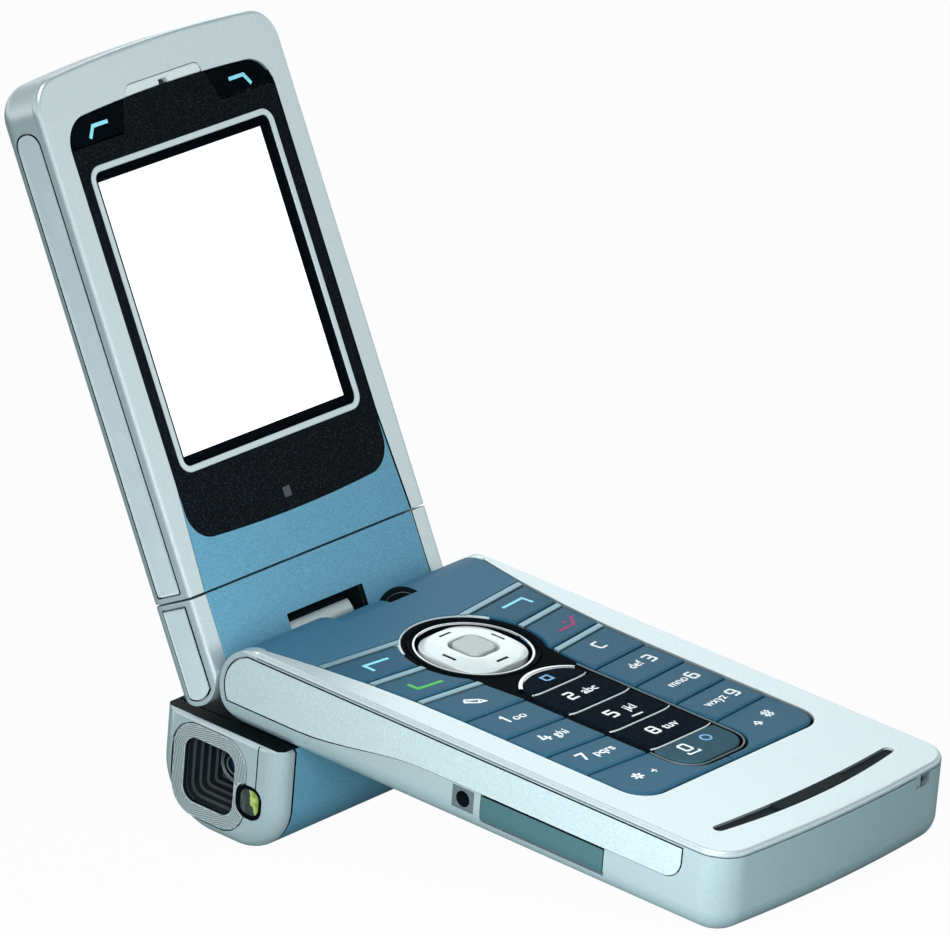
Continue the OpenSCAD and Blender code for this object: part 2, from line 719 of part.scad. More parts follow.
// Domed navigation key round the select key
module nav_key() color(pearl) stand() difference() {
    intersection() {
        along_z(key_low, base_t) even_box([0, nav_y], [nav_size[0], nav_size[0]], nav_size[1]);
        translate([0, nav_y, r1 + nav_rise - nav_dome_r]) sphere(nav_dome_r, $fn = bow_fn / 2);
    }
    along_z(0, base_t) even_box(
        [0, nav_y], (select_size[0] + key_gap) * [1, 1], select_size[1] + key_gap);
}
module select_key() color(steel) stand() along_z(key_low, r1 + nav_rise)
    even_box([0, nav_y], select_size[0] * [1, 1], select_size[1]);

// Keys of the centre strip: the menu key, then 2, 5, 8 and 0; d widens the opening round one
module centre_key_plan(i, d) {
    inner = strip_half - strip_border;
    menu_top = row_line(3, 0) + menu_size[1] + key_gap;
    top = i == 0 ? menu_top : row_line(i + 2, strip_half) - key_gap / 2;
    low = i == 4 ? strip_low + strip_border : row_line(i + 3, strip_half) + key_gap / 2;
    half = i == 0 ? menu_size[0] : inner;
    r_top = i == 0 ? menu_size[2] : key_r;
    r_low = i == 4 ? strip_r - strip_border : key_r;
    e = d > 0 ? seat_gap : 0;
    round_box(-half - d, low - e, half + d, top + e, [r_low, r_low, r_top, r_top]);
}
module centre_key(i) color(black_gloss) stand() along_z(key_low, key_top) centre_key_plan(i, 0);

// Blue keys in two columns beside the strip, side -1 left and 1 right
module side_key(i, side) color(blue_grey) stand() mirror([side < 0 ? 1 : 0, 0, 0])
    along_z(key_low, key_top) difference() {
        intersection() {
            deck_outline(-key_gap / 2);
            translate([key_gap / 2, -2 * base_reach]) square(2 * base_reach);
            if (i < 6)
                row_band(i, -row_room(i), i + 1, row_room(i + 1));
            else
                row_band(i, -row_room(i), i, -last_row_h - body_w);
        }
        strip_outline(key_gap);
    }

// Camera unit: a rounded bar with a flat top, its ends rolled over at the front, below and at the back
module unit_profile(d) round_box(unit_front + d, unit_low + d, unit_back - d, flat_z,
    [unit_r[0] - d, unit_r[1] - d, 0, 0]);
module unit_end() {
    r = unit_end_r;
    x1 = body_w / 2;
    x0 = x1 - r - past;
    front = unit_front + unit_r[0];
    back = unit_back - unit_r[1];
    along_x(x0, x1) unit_profile(r);
    along_y(front, back) round_box(x0, unit_low, x1, unit_low + r + past, [0, r, 0, 0]);
    along_z(unit_low + unit_r[0], flat_z)
        round_box(x0, unit_front, x1, unit_front + r + past, [0, r, 0, 0]);
    along_z(unit_low + unit_r[1], flat_z)
        round_box(x0, unit_back - r - past, x1, unit_back, [0, 0, r, 0]);
    translate([0, front, unit_low + unit_r[0]]) rotate([0, 90, 0]) rotate([0, 0, -90])
        rotate_extrude(angle = 90) round_box(0, x0, unit_r[0], x1, [0, 0, r, 0]);
    translate([0, back, unit_low + unit_r[1]]) rotate([0, 90, 0])
        rotate_extrude(angle = 90) round_box(0, x0, unit_r[1], x1, [0, 0, r, 0]);
}
module unit_form() intersection() {
    union() {
        along_x(unit_end_r - body_w / 2, body_w / 2 - unit_end_r) unit_profile(0);
        both_sides() unit_end();
    }
    along_x(-body_w, body_w) round_box(unit_front, unit_low - past, unit_back, flat_z,
        face_edge_r * [0, 0, 1, 1]);
    along_y(unit_front - past, unit_back + past) round_box(-body_w / 2, unit_low - past, body_w / 2, flat_z,
        face_edge_r * [0, 0, 1, 1]);
}
module unit_slice(x0, x1) intersection() {
    unit_form();
    translate([x0, -body_w, unit_low - past]) cube([x1 - x0, 2 * body_w, unit_h + 2 * past]);
}
module window_outline(d) even_box(
    window_at, [window_size[0] + d, window_size[1] + d], max(window_size[2] + d, 0.4));
module flash_outline(d) even_box(
    flash_at, [flash_size[0] + d, flash_size[1] + d], flash_size[2] + d);

module camera_housing() color(blue_grey) stand() difference() {
    unit_slice(-cap_x, cap_x);
    along_x(-cap_x - past, baffle_end + lens_seat_t) window_outline(baffle_fit);
    bracket_foot();
}

module lens_end_cap() color(silver) stand() difference() {
    unit_slice(-body_w / 2, -cap_x);
    along_x(-body_w, baffle_x) window_outline(plate_border + lay_gap);
    along_x(-body_w, 0) window_outline(baffle_fit);
    along_x(-body_w, -body_w / 2 + flash_t) flash_outline(lay_gap);
    // Seam of the cover beside the lens, from the flash up
    translate([-body_w, unit_front + cap_seam, flash_at[1]])
        cube([body_w / 2 + 2 * cap_seam_w, cap_seam_w, unit_h]);
}
module far_end_cap() color(silver) stand() unit_slice(cap_x, body_w / 2);

module lens_plate() color(pearl) stand() along_x(plate_x, baffle_x) difference() {
    window_outline(plate_border);
    window_outline(0);
    flash_outline(seat_gap);
}

module lens_baffle() color(black_gloss) stand() difference() {
    along_x(baffle_x, baffle_end + lens_seat_t) window_outline(baffle_fit - lay_gap);
    for (i = [0:baffle_steps - 1])
        along_x(baffle_x + i * baffle_step[0] - press_gap, baffle_x + (i + 1) * baffle_step[0])
            window_outline(-i * baffle_step[1]);
    along_x(baffle_end - lay_gap, baffle_end + lens_seat_t + past)
        translate(window_at) circle(lens_r + press_gap);
}

module camera_lens() color("#2a4a6a") stand()
    translate([baffle_end, window_at[0], window_at[1]]) rotate([0, 90, 0]) intersection() {
        translate([0, 0, -lens_rise]) cylinder(r = lens_r, h = lens_rise + lens_seat_t);
        translate([0, 0, lens_dome_r - lens_rise]) sphere(lens_dome_r);
    }

module flash_lens() color(amber) stand() intersection() {
    translate([plate_sink, 0, 0]) unit_form();
    along_x(-body_w / 2, -body_w / 2 + flash_t) flash_outline(0);
}

// Neck and knuckle pairs on the flat top, in line with the notches of the base and the lid
module knuckle(at, r, neck, length, pin) {
    x0 = -notch_half + turn_gap;
    difference() {
        along_x(x0, x0 + length) translate([at[1], at[2]]) {
            circle(r);
            translate([-neck, flat_z - at[2]]) square([2 * neck, at[2] - flat_z]);
        }
        along_x(x0 - past, x0 + length + past) translate([at[1], at[2]]) circle(pin);
    }
}
module bracket_foot() {
    x0 = -notch_half + turn_gap;
    y0 = -neck_half[0];
    translate([x0, y0, flat_z - foot_t])
        cube([min(knuckle_len[0], knuckle_len[1]), lid_axis[1] + neck_half[1] - y0, foot_t]);
}
module hinge_bracket() color(silver) stand() {
    bracket_foot();
    knuckle([0, 0, 0], base_knuckle_r, neck_half[0], knuckle_len[0], base_pin_r + press_gap);
    knuckle(lid_axis, lid_knuckle_r, neck_half[1], knuckle_len[1], lid_pin_r + press_gap);
}
module pin_seat() along_x(
    -body_w / 2 + pin_inset - seat_gap, body_w / 2 - pin_inset + seat_gap) children();
module hinge_pin(at, r) along_x(-body_w / 2 + pin_inset, body_w / 2 - pin_inset)
    translate([at[1], at[2]]) circle(r);
module base_hinge_pin() color(steel) stand() hinge_pin([0, 0, 0], base_pin_r);
module lid_hinge_pin() color(steel) stand() hinge_pin(lid_axis, lid_pin_r);

// Outer form of the lid, its side and its section drawn in by d
module lid_side(d) {
    circle(r2 - d);
    translate([0, -r2 + d]) square([lid_reach + past, lid_t - 2 * d]);
}
module lid_section(d) round_box(-body_w / 2 + d, -r2 + d, body_w / 2 - d, r2 - d,
    [lid_edge_r - d, lid_edge_r - d, 0, 0]);
module lid_form() intersection() {
    rolled_form(-r2 - past, lid_reach, [-r2, r2], [lid_edge_r, face_edge_r]);
    along_x(-body_w, body_w) lid_side(0);
}
module lid_slice(y0, y1, z0, z1) intersection() {
    lid_form();
    translate([-body_w, y0, z0]) cube([2 * body_w, y1 - y0, z1 - z0]);
}

// Blue panel that wraps the round hinge end of the lid
module swivel_panel_form() {
    half = body_w / 2 - lid_rim[0];
    along_x(-half, half) difference() {
        intersection() {
            lid_side(0);
            translate([-lid_t, -r2 * wrap_low]) square([seam_reach + lid_t, lid_t]);
        }
        lid_side(rim_t);
        translate([0, -lid_t]) square([lid_reach, lid_t]);
    }
}
module lid_notch() along_x(-notch_half, notch_half) {
    circle(lid_knuckle_r + turn_gap);
    translate([-lid_t, -lid_t]) square([lid_t + lid_notch_top, 2 * lid_t]);
}
module swivel_inlay() both_sides() along_x(body_w / 2 - inlay_t, body_w / 2 + 1) intersection() {
    union() {
        circle(r2 - trim_rim);
        translate([0, -lid_t]) square([seam_reach - trim_rim, 2 * lid_t]);
    }
    translate([-lid_t, trim_z[0]]) square([2 * lid_reach, trim_z[1] - trim_z[0]]);
}
module swivel_base_shell() color(silver) on_lid() difference() {
    lid_slice(-lid_t, seam_reach, -lid_t, lid_t);
    swivel_panel_form();
    lid_notch();
    swivel_inlay();
    pin_seat() circle(lid_pin_r + pin_fit);
    along_y(seam_reach - post_seat, seam_reach + past) circle(post_r + press_gap);
}
module swivel_base_panel() color(blue_grey) on_lid() difference() {
    swivel_panel_form();
    lid_notch();
}
module swivel_base_trims() color(pearl) on_lid() intersection() {
    swivel_inlay();
    lid_form();
}
module swivel_post() color(steel) on_lid() 
    along_y(seam_reach - post_seat, lid_low + post_len) circle(post_r);

// Upper lid
module lid_inlay() both_sides() along_x(body_w / 2 - inlay_t, body_w / 2 + 1) round_box(
    lid_low + trim_rim, trim_z[0], lid_reach - trim_inset, trim_z[1],
    [key_r, trim_end_r, trim_end_r, key_r]);
module upper_glass(d) bowed_plan(
    glass_half + d, glass_y[0] - glass_r, glass_y[1] + d, glass_r + d, bow_r);
module glass_outline(d) intersection() {
    upper_glass(d);
    translate([0, 2 * glass_middle]) mirror([0, 1]) upper_glass(d);
}
// Opening of the front frame: the glass, and the blue panel from there down to the seam
module face_opening(d) {
    seam_half = body_w / 2 - lid_rim[0] + d;
    side = glass_half + d;
    low = lid_low - 1;
    high = glass_y[0] + 2 * glass_r;
    polygon([[-seam_half, low], [seam_half, low], [seam_half, lid_low], [side, high],
        [-side, high], [-seam_half, lid_low]]);
    glass_outline(d);
}
// Key at an upper corner of the glass
module lid_key_plan(d) intersection() {
    upper_glass(d > 0 ? lay_gap : -lay_gap);
    polygon([[lid_key_x[0] - d, glass_y[1] - lid_key_h - d], [body_w, glass_y[1] - lid_key_h - d],
        [body_w, glass_y[1] + past], [lid_key_x[1] - d, glass_y[1] + past]]);
}
module display_plan(d) even_box(
    [0, display_y], [display_half[0] + d, display_half[1] + d], display_r + d);
module cover_window_form() {
    half = body_w / 2 - cover_window_side;
    high = lid_reach - cover_window_inset;
    along_z(-r2, -r2 + cover_window_t)
        round_box(-half, high - cover_window_h, half, high, cover_window_r * [1, 1, 1, 1]);
}
module earpiece_plan() {
    half = earpiece_size[0];
    round_box(-half, glass_y[1] - past, half, glass_y[1] + earpiece_size[1], [0, 0, display_r, display_r]);
}

module lid_back_cover() color(silver) on_lid() difference() {
    lid_slice(lid_low, lid_reach + past, -lid_t, frame_z);
    // Hollow, with a block left for the swivel post
    difference() {
        intersection() {
            along_z(-r2 + wall, lid_t)
                bowed_plan(body_w / 2 - wall, lid_low + wall, lid_reach - 2 * wall, corner_r - wall, bow_r);
            along_y(0, lid_reach) {
                lid_section(wall);
                translate([wall - body_w / 2, 0]) square([body_w - 2 * wall, lid_t]);
            }
        }
        translate([-post_r - wall, lid_low, -lid_t])
            cube([2 * (post_r + wall), post_len + wall, 2 * lid_t]);
    }
    along_y(lid_low - past, lid_low + post_len + seat_gap) circle(post_r + pin_fit);
    lid_inlay();
    cover_window_form();
}
module lid_front_frame() color(silver) on_lid() difference() {
    lid_slice(lid_low, lid_reach + past, frame_z, lid_t);
    along_z(frame_z - past, lid_t) face_opening(lay_gap);
    along_z(frame_z - past, lid_t) earpiece_plan();
}
module chin_panel() color(blue_grey) on_lid() along_z(frame_z, r2 - lay_gap) difference() {
    intersection() {
        face_opening(0);
        translate([-body_w, lid_low]) square([2 * body_w, glass_y[0] + 2 * glass_r - lid_low]);
    }
    glass_outline(lay_gap);
}
module display_window() color(black_gloss) on_lid() difference() {
    along_z(glass_top - glass_t, glass_top) difference() {
        glass_outline(0);
        display_plan(lay_gap / 2);
        both_sides() lid_key_plan(lid_key_gap);
    }
    along_z(glass_top - display_sink, glass_top + past) display_plan(ring_w + lay_gap / 2);
}
module display_panel() color("#f4f7fa") on_lid()
    along_z(glass_top - display_sink - display_t, glass_top - display_sink) display_plan(0);
module display_ring() color(silver) on_lid() along_z(glass_top - display_sink, glass_top) difference() {
    display_plan(ring_w);
    display_plan(lay_gap / 2);
}
module lid_key(side) color(black_gloss) on_lid() mirror([side < 0 ? 1 : 0, 0, 0])
    along_z(frame_z - lid_key_room, glass_top) lid_key_plan(0);
module earpiece_cap() color(pearl) on_lid() along_z(frame_z, r2) difference() {
    earpiece_plan();
    glass_outline(lay_gap);
    translate([-earpiece_slot, glass_middle])
        square([2 * earpiece_slot, glass_y[1] + earpiece_slot_h - glass_middle]);
}
module lid_side_trims() color(pearl) on_lid() intersection() {
    lid_inlay();
    lid_form();
}
module cover_window() color(black_gloss) on_lid() cover_window_form();

keypad_frame();
lower_housing();
side_panels();
hinge_end_panel();
centre_strip();
nav_bezel();
key_bars();
key_mat();
main_board();
battery();
battery_cover();
charging_socket();
mic_trim();
card_door();
nav_key();
select_key();
centre_key(0);  // menu_key
centre_key(1);  // key_2
centre_key(2);  // key_5
centre_key(3);  // key_8
centre_key(4);  // key_0
side_key(0, -1);  // soft_key_left
side_key(0, 1);  // soft_key_right
side_key(1, -1);  // call_key
side_key(1, 1);  // end_key
side_key(2, -1);  // edit_key
side_key(2, 1);  // clear_key
side_key(3, -1);  // key_1
side_key(3, 1);  // key_3
side_key(4, -1);  // key_4
side_key(4, 1);  // key_6
side_key(5, -1);  // key_7
side_key(5, 1);  // key_9
side_key(6, -1);  // key_star
side_key(6, 1);  // key_hash
camera_housing();
lens_end_cap();
far_end_cap();
lens_plate();
lens_baffle();
camera_lens();
flash_lens();
hinge_bracket();
base_hinge_pin();
lid_hinge_pin();
swivel_base_shell();
swivel_base_panel();
swivel_base_trims();
swivel_post();
lid_back_cover();
lid_front_frame();
chin_panel();
display_window();
display_panel();
display_ring();
earpiece_cap();
lid_side_trims();
cover_window();
lid_key(-1);  // lid_key_left
lid_key(1);  // lid_key_right
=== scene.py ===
"""Finishes of a folding camera phone: painted housings, keypad, camera, lid and display on a white stage."""
import json
import math

import bpy
from bpy.props import FloatProperty, FloatVectorProperty, PointerProperty
from bpy.types import Operator, Panel, PropertyGroup
from mathutils import Matrix, Vector
from mathutils.bvhtree import BVHTree


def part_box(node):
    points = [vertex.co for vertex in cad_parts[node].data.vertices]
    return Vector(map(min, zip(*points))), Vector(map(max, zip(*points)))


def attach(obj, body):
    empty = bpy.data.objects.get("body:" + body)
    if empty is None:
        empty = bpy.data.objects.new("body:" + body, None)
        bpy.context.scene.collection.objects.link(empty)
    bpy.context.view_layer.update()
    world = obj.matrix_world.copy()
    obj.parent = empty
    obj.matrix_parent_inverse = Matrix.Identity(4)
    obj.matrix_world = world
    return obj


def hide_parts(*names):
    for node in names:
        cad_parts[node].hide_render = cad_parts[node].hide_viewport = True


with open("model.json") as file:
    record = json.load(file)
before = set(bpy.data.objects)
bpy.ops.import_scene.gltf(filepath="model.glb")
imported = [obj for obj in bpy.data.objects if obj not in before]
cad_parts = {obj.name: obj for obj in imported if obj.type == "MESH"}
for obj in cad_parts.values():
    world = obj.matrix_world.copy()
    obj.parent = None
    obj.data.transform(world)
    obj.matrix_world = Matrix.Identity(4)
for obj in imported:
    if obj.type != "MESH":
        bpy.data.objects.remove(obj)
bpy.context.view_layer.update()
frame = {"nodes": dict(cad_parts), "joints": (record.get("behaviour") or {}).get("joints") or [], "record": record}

bl_info = {
    "name": "Folding camera phone",
    "version": (1, 0, 0),
    "blender": (4, 5, 0),
    "location": "3D View > Sidebar > Phone",
    "description": "Dresses the packed phone with finishes, legends and a stage",
    "category": "Object",
}

MM = 0.001
# Cosines of a face's normal with an axis: the face looks straight along it, roughly along it, or aside
STRAIGHT = 0.99
ALONG = 0.9
ASIDE = 0.3
# Angles in degrees from which an edge of a housing or of a key is rounded
CREASE = 34
KEY_CREASE = 28
# Hinge wells: radius round the hinge in the base and in the lid, and the play beside the bracket
BASE_WELL = 7.6 * MM
LID_WELL = 6.4 * MM
WELL_PLAY = 0.6 * MM
# Depth of the lit screen below the face of the display
SCREEN_SINK = 0.8 * MM
# The photograph: its size, and the pixel at which it shows the middle of the keypad
PHOTO_SIZE = (950, 936)
KEYPAD_PIXEL = Vector((608.5, 704.3))
# In the frame of the base: the middle of the keypad, the way back to the camera and the picture's right
KEYPAD_MIDDLE = Vector((0, -43.2, 6.5)) * MM
CAMERA_BACK = Vector((-0.7206, -0.5481, 0.4247)).normalized()
CAMERA_RIGHT = Vector((0.6342, -0.7685, 0.0846))
SENSOR_WIDTH = 36


def srgb(code):
    """Linear colour of an sRGB hex code."""
    parts = [int(code[i:i + 2], 16) / 255 for i in (1, 3, 5)]
    return tuple(p / 12.92 if p <= 0.04045 else ((p + 0.055) / 1.055) ** 2.4 for p in parts)


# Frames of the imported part

JOINTS = {joint["name"]: joint for joint in frame["joints"]}
ACROSS = Vector((1, 0, 0))


def frame_at(joint, along, up):
    """Place of a joint, with X across the phone and the other axes as given."""
    turn = Matrix((ACROSS, along, up)).transposed().to_4x4()
    return Matrix.Translation(JOINTS[joint]["pos_m"]) @ turn


KEY_UP = Vector(JOINTS["nav_key_press"]["axis"]).normalized()
BASE = frame_at("base_hinge", KEY_UP.cross(ACROSS), KEY_UP)
LID_UP = Vector(JOINTS["display_swivel"]["axis"]).normalized()
LID = frame_at("lid_hinge", LID_UP, ACROSS.cross(LID_UP))


def local_box(node, place):
    """Lowest and highest corner of a node in a local frame, in millimetres."""
    inverse = place.inverted()
    points = [inverse @ v.co for v in frame["nodes"][node].data.vertices]
    low = [min(p[i] for p in points) / MM for i in range(3)]
    high = [max(p[i] for p in points) / MM for i in range(3)]
    return Vector(low), Vector(high)


# Sizes and colours that a user would change

def colour(name, description, code):
    return FloatVectorProperty(
        name=name, description=description, subtype="COLOR", size=3, min=0, max=1, default=srgb(code))


def length(name, description, size):
    return FloatProperty(
        name=name, description=description, subtype="DISTANCE", unit="LENGTH", default=size * MM)


def power(name, description, watts):
    return FloatProperty(name=name, description=description, unit="POWER", default=watts)


class PhoneColours(PropertyGroup):
    """Colours of the finishes"""
    silver: colour("Silver paint", "Metallic paint of the housings", "#CFDFE2")
    satin: colour("Satin panel", "Bead-blasted side panels", "#C3D4D7")
    # One blue-grey paint in four copies: darker on the hinge-end panel and keys (painted shade), lighter on the
    # foot, chin and barrel (painted light)
    blue: colour("Blue-grey paint", "Metallic paint of the panel at the hinge end", "#356781")
    key_blue: colour("Key blue", "Metallic paint of the side keys", "#25566E")
    light_blue: colour("Light blue", "Metallic paint of the foot and the chin of the lid", "#6197B0")
    barrel: colour("Barrel blue", "Metallic paint of the camera barrel", "#629AB2")
    black: colour("Black gloss", "Smoked acrylic of the glass and gloss of the centre strip", "#070C10")
    pearl: colour("Pearl white", "Pearl plastic of the navigation key", "#D6E1E2")
    door: colour("Door grey", "Soft-touch card door", "#3B5C62")
    legend: colour("Legend white", "Printed digits and letters", "#E4ECEE")
    cyan: colour("Soft key blue", "Printed strokes of the soft keys", "#8FE0F2")
    green: colour("Call green", "Printed stroke of the call key", "#3FB54A")
    red: colour("End red", "Printed stroke of the end key", "#8A1263")
    screen: colour("Screen white", "Lit display", "#FFFFFF")


class PhoneSizes(PropertyGroup):
    """Sizes of the added details"""
    edge: length("Edge", "Rounding of the housings' edges", 0.12)
    seam: length("Seam", "Gap at the visible seams", 0.24)
    key_edge: length("Key edge", "Rounding of the key caps' edges", 0.16)
    key_tilt: FloatProperty(
        name="Key tilt", description="Slope of the key tops towards the hinge", subtype="ANGLE",
        unit="ROTATION", default=math.radians(2.2))
    digit: FloatProperty(name="Digit", description="Size of the digits; 1 is 2.8 mm high", default=0.68)
    letters: length("Letters", "Type size of the letter groups", 2.25)
    print_t: length("Print", "Thickness of the printed legends", 0.03)
    line: length("Line", "Width of the bright lines on the centre strip", 0.26)


class PhoneStage(PropertyGroup):
    """Camera and lamps"""
    distance: length("Distance", "Camera to the middle of the keypad", 1240.5)
    lens: FloatProperty(name="Lens", description="Focal length of the camera", unit="CAMERA", default=336.1)
    key_lamp: power("Key lamp", "Power of the lamp beside the base", 0.43)
    fill_lamp: power("Fill lamp", "Power of the high lamp", 4.2)
    back_lamp: power("Back lamp", "Power of the lamp behind", 0.8)
    ambient: FloatProperty(name="Ambient", description="Strength of the light all round", default=0.25)


# Materials

MATERIALS = {}


def add(tree, kind, inputs=(), **settings):
    """One node with its attributes, and its inputs as values or links."""
    node = tree.nodes.new(kind)
    for key, value in settings.items():
        socket = node.inputs.get(key.replace("_", " ").title())
        if socket is None:
            setattr(node, key, value)
        else:
            socket.default_value = value
    for socket, source in inputs:
        if isinstance(source, bpy.types.NodeSocket):
            tree.links.new(source, node.inputs[socket])
        else:
            node.inputs[socket].default_value = source
    return node


def set_ramp(ramp, *stops):
    """Positions and colours of a ramp's two ends."""
    for element, (position, shown) in zip(ramp.color_ramp.elements, stops):
        element.position = position
        element.color = shown


def material(name, base, roughness, **sockets):
    """Principled material; returns it with its tree, its shader and its Object coordinates."""
    mat = bpy.data.materials.new(name)
    mat.use_nodes = True
    tree = mat.node_tree
    shader = tree.nodes["Principled BSDF"]
    shader.inputs["Base Color"].default_value = (*base, 1)
    shader.inputs["Roughness"].default_value = roughness
    for socket, value in sockets.items():
        shader.inputs[socket.replace("_", " ")].default_value = value
    return mat, tree, shader, add(tree, "ShaderNodeTexCoord").outputs["Object"]


def tint(base, gain):
    return (*(min(1, c * gain) for c in base), 1)


def grain(tree, shader, coords, base, size, spread, depth=0.0, roughness=None):
    """Speckled colour of a given grain size in millimetres, with a fine bump and roughness."""
    noise = add(tree, "ShaderNodeTexNoise", [("Vector", coords)], scale=1 / (size * MM), detail=2.0)
    speckle = noise.outputs["Fac"]
    ramp = add(tree, "ShaderNodeValToRGB", [("Fac", speckle)])
    set_ramp(ramp, (0.35, tint(base, 1 - spread)), (0.65, tint(base, 1 + spread)))
    tree.links.new(ramp.outputs["Color"], shader.inputs["Base Color"])
    if depth:
        bump = add(tree, "ShaderNodeBump", [("Height", speckle)], strength=0.4, distance=depth * MM)
        tree.links.new(bump.outputs["Normal"], shader.inputs["Normal"])
    if roughness:
        low, high = roughness
        gloss = add(tree, "ShaderNodeMapRange", [("Value", speckle)], to_min=low, to_max=high)
        tree.links.new(gloss.outputs["Result"], shader.inputs["Roughness"])
    return ramp.outputs["Color"]


def flakes(tree, shader, coords, ground, size, share, bright):
    """Bright metal flakes scattered in a colour: a share of the cells of a given size in millimetres."""
    flake_reach = 0.45
    cells = add(tree, "ShaderNodeTexVoronoi", [("Vector", coords)], scale=1 / (size * MM))
    pick = add(tree, "ShaderNodeSeparateColor", [("Color", cells.outputs["Color"])]).outputs["Red"]
    chosen = add(tree, "ShaderNodeMath", [(0, pick), (1, 1 - share)], operation="GREATER_THAN").outputs[0]
    distance = cells.outputs["Distance"]
    near = add(tree, "ShaderNodeMath", [(0, distance), (1, flake_reach)], operation="LESS_THAN").outputs[0]
    spot = add(tree, "ShaderNodeMath", [(0, chosen), (1, near)], operation="MULTIPLY").outputs[0]
    # Inputs 6 and 7 and output 2 are the node's colours
    mix = add(tree, "ShaderNodeMix", [("Factor", spot), (6, ground), (7, (*bright, 1))], data_type="RGBA")
    tree.links.new(mix.outputs[2], shader.inputs["Base Color"])


def new_finish(key, name, base, roughness, speckle=None, glitter=None, **sockets):
    """A finish with a speckle, the arguments of grain, and with bright flakes, the arguments of flakes."""
    mat, tree, shader, coords = material(name, base, roughness, **sockets)
    ground = grain(tree, shader, coords, base, *speckle) if speckle else (*base, 1)
    if glitter:
        flakes(tree, shader, coords, ground, *glitter)
    MATERIALS[key] = mat


def make_materials(c):
    """All finishes of the phone, keyed by a short name."""
    # Metallic lacquer on moulded plastic: pale silver with a fine speckle and a soft gloss
    new_finish("silver", "silver_lacquer_on_abs", c.silver, 0.32, (0.22, 0.055, 0.004, (0.28, 0.38)),
               Metallic=0.7)
    # Bead-blasted aluminium: even fine grain, broad soft highlight
    new_finish(
        "satin", "bead_blasted_aluminium", c.satin, 0.42, (0.2, 0.09, 0.006, (0.36, 0.5)), Metallic=0.4)
    # Clear-coated silver of the trims: smooth, with a sharper gloss than the housings
    new_finish("trim", "clear_coated_silver_abs", srgb("#CAD9DC"), 0.3, (3.0, 0.02, 0, (0.22, 0.3)),
               Metallic=0.25, Coat_Weight=0.3, Coat_Roughness=0.2)
    # Brushed bars between the upper keys: blue-silver metal that picks up the light at a flat angle
    new_finish("bar", "blue_silver_plating", srgb("#86A9B6"), 0.34, (0.25, 0.06, 0.003), Metallic=0.75)
    for key in ("blue", "key_blue", "light_blue", "barrel"):
        # One blue-grey metallic lacquer in lit and shaded copies, painted light and painted shade per part:
        # speckled, with small bright flakes and little gloss
        base = getattr(c, key)
        new_finish(key, "metallic_lacquer_" + key, base, 0.5, (0.2, 0.16, 0.004, (0.44, 0.56)),
                   (0.13, 0.07, tint(base, 1.4)[:3]), Metallic=0.15, Specular_IOR_Level=0.2)
    # Smoked acrylic with glitter printed on its back: near-black gloss with scattered pale flakes
    new_finish("glass", "smoked_acrylic_with_flakes", c.black, 0.12, None, (0.11, 0.14, srgb("#2B3A42")),
               Specular_IOR_Level=0.03)
    # Moulded gloss polycarbonate: near-black with a faint blue speckle
    new_finish("black", "black_gloss_polycarbonate", c.black, 0.14, (0.5, 0.25, 0, (0.1, 0.2)),
               Specular_IOR_Level=0.002)
    # Navy tinted key caps: dark glossy plastic with fine pale flakes
    new_finish("navy", "navy_gloss_polycarbonate", srgb("#0B141D"), 0.2, None, (0.16, 0.06, srgb("#22364A")),
               Specular_IOR_Level=0.002)
    # Thinner navy cap over a lit area: the lighter key at the foot of the strip
    new_finish(
        "slate", "slate_gloss_polycarbonate", srgb("#34505C"), 0.2, None, (0.16, 0.06, srgb("#4F717E")),
        Specular_IOR_Level=0.004)
    # Pearl plastic: cool white, smooth, a slight cloud in the tone
    new_finish("pearl", "pearl_abs", c.pearl, 0.24, (3.0, 0.025, 0, (0.2, 0.28)),
               Metallic=0.3, Coat_Weight=0.3, Coat_Roughness=0.1)
    # Satin grey plastic of the select key: matt, with a fine speckle
    new_finish("select", "satin_grey_abs", srgb("#B3BDBC"), 0.4, (0.25, 0.06, 0.004), Metallic=0.3)
    # Bright chromium plating: mirror with slight waviness
    new_finish(
        "chrome", "chromium_plating", srgb("#D9DEE0"), 0.08, (2.0, 0.03, 0, (0.05, 0.13)), Metallic=1.0)
    # Ribbed light trap behind the lens window: dark satin plastic
    new_finish("baffle", "dark_satin_polycarbonate", srgb("#141A1C"), 0.3, (0.4, 0.1), Specular_IOR_Level=0.5)
    # Paler grey plastic of the light sensor, and painted highlight on the light trap's treads: satin, faintly
    # cloudy
    new_finish("grey", "grey_satin_polycarbonate", srgb("#3A4046"), 0.4, (1.5, 0.08, 0.01))
    # Soft-touch rubberised plastic: matt, fine stipple
    new_finish("door", "soft_touch_polyurethane", c.door, 0.62, (0.3, 0.07, 0.008, (0.55, 0.7)))
    # Dark moulded plastic of the microphone slot, a lens ring and the printed dashes, also laid as painted shade
    # on seams, recesses and hinge wells: matt, with a fine stipple
    new_finish(
        "dark", "dark_grey_moulded_abs", srgb("#0E1619"), 0.5, (0.3, 0.15, 0.006), Specular_IOR_Level=0.05)
    # Turned steel of pins and posts: grey metal with an uneven gloss
    new_finish("steel", "turned_steel", srgb("#8E969B"), 0.3, (0.4, 0.08, 0.003, (0.22, 0.38)), Metallic=1.0)
    # Grey nickel plate of the charging socket, the lens rings and the ridges of the lens plate: satin metal
    new_finish("nickel", "satin_nickel_plate", srgb("#8A9799"), 0.35, (0.25, 0.07, 0.003), Metallic=0.8)
    # Glass-fibre board under green solder mask: glossy, mottled green
    new_finish("board", "green_solder_mask", srgb("#2F5A44"), 0.3, (0.6, 0.12, 0.004))
    # Silicone of the key mat: dull dark grey
    new_finish("rubber", "grey_silicone_rubber", srgb("#12181C"), 0.55, (0.5, 0.1, 0.004))
    # Shrink sleeve of the battery: grey film with soft wrinkles
    new_finish("battery", "battery_shrink_sleeve", srgb("#3A4046"), 0.4, (1.5, 0.08, 0.01))
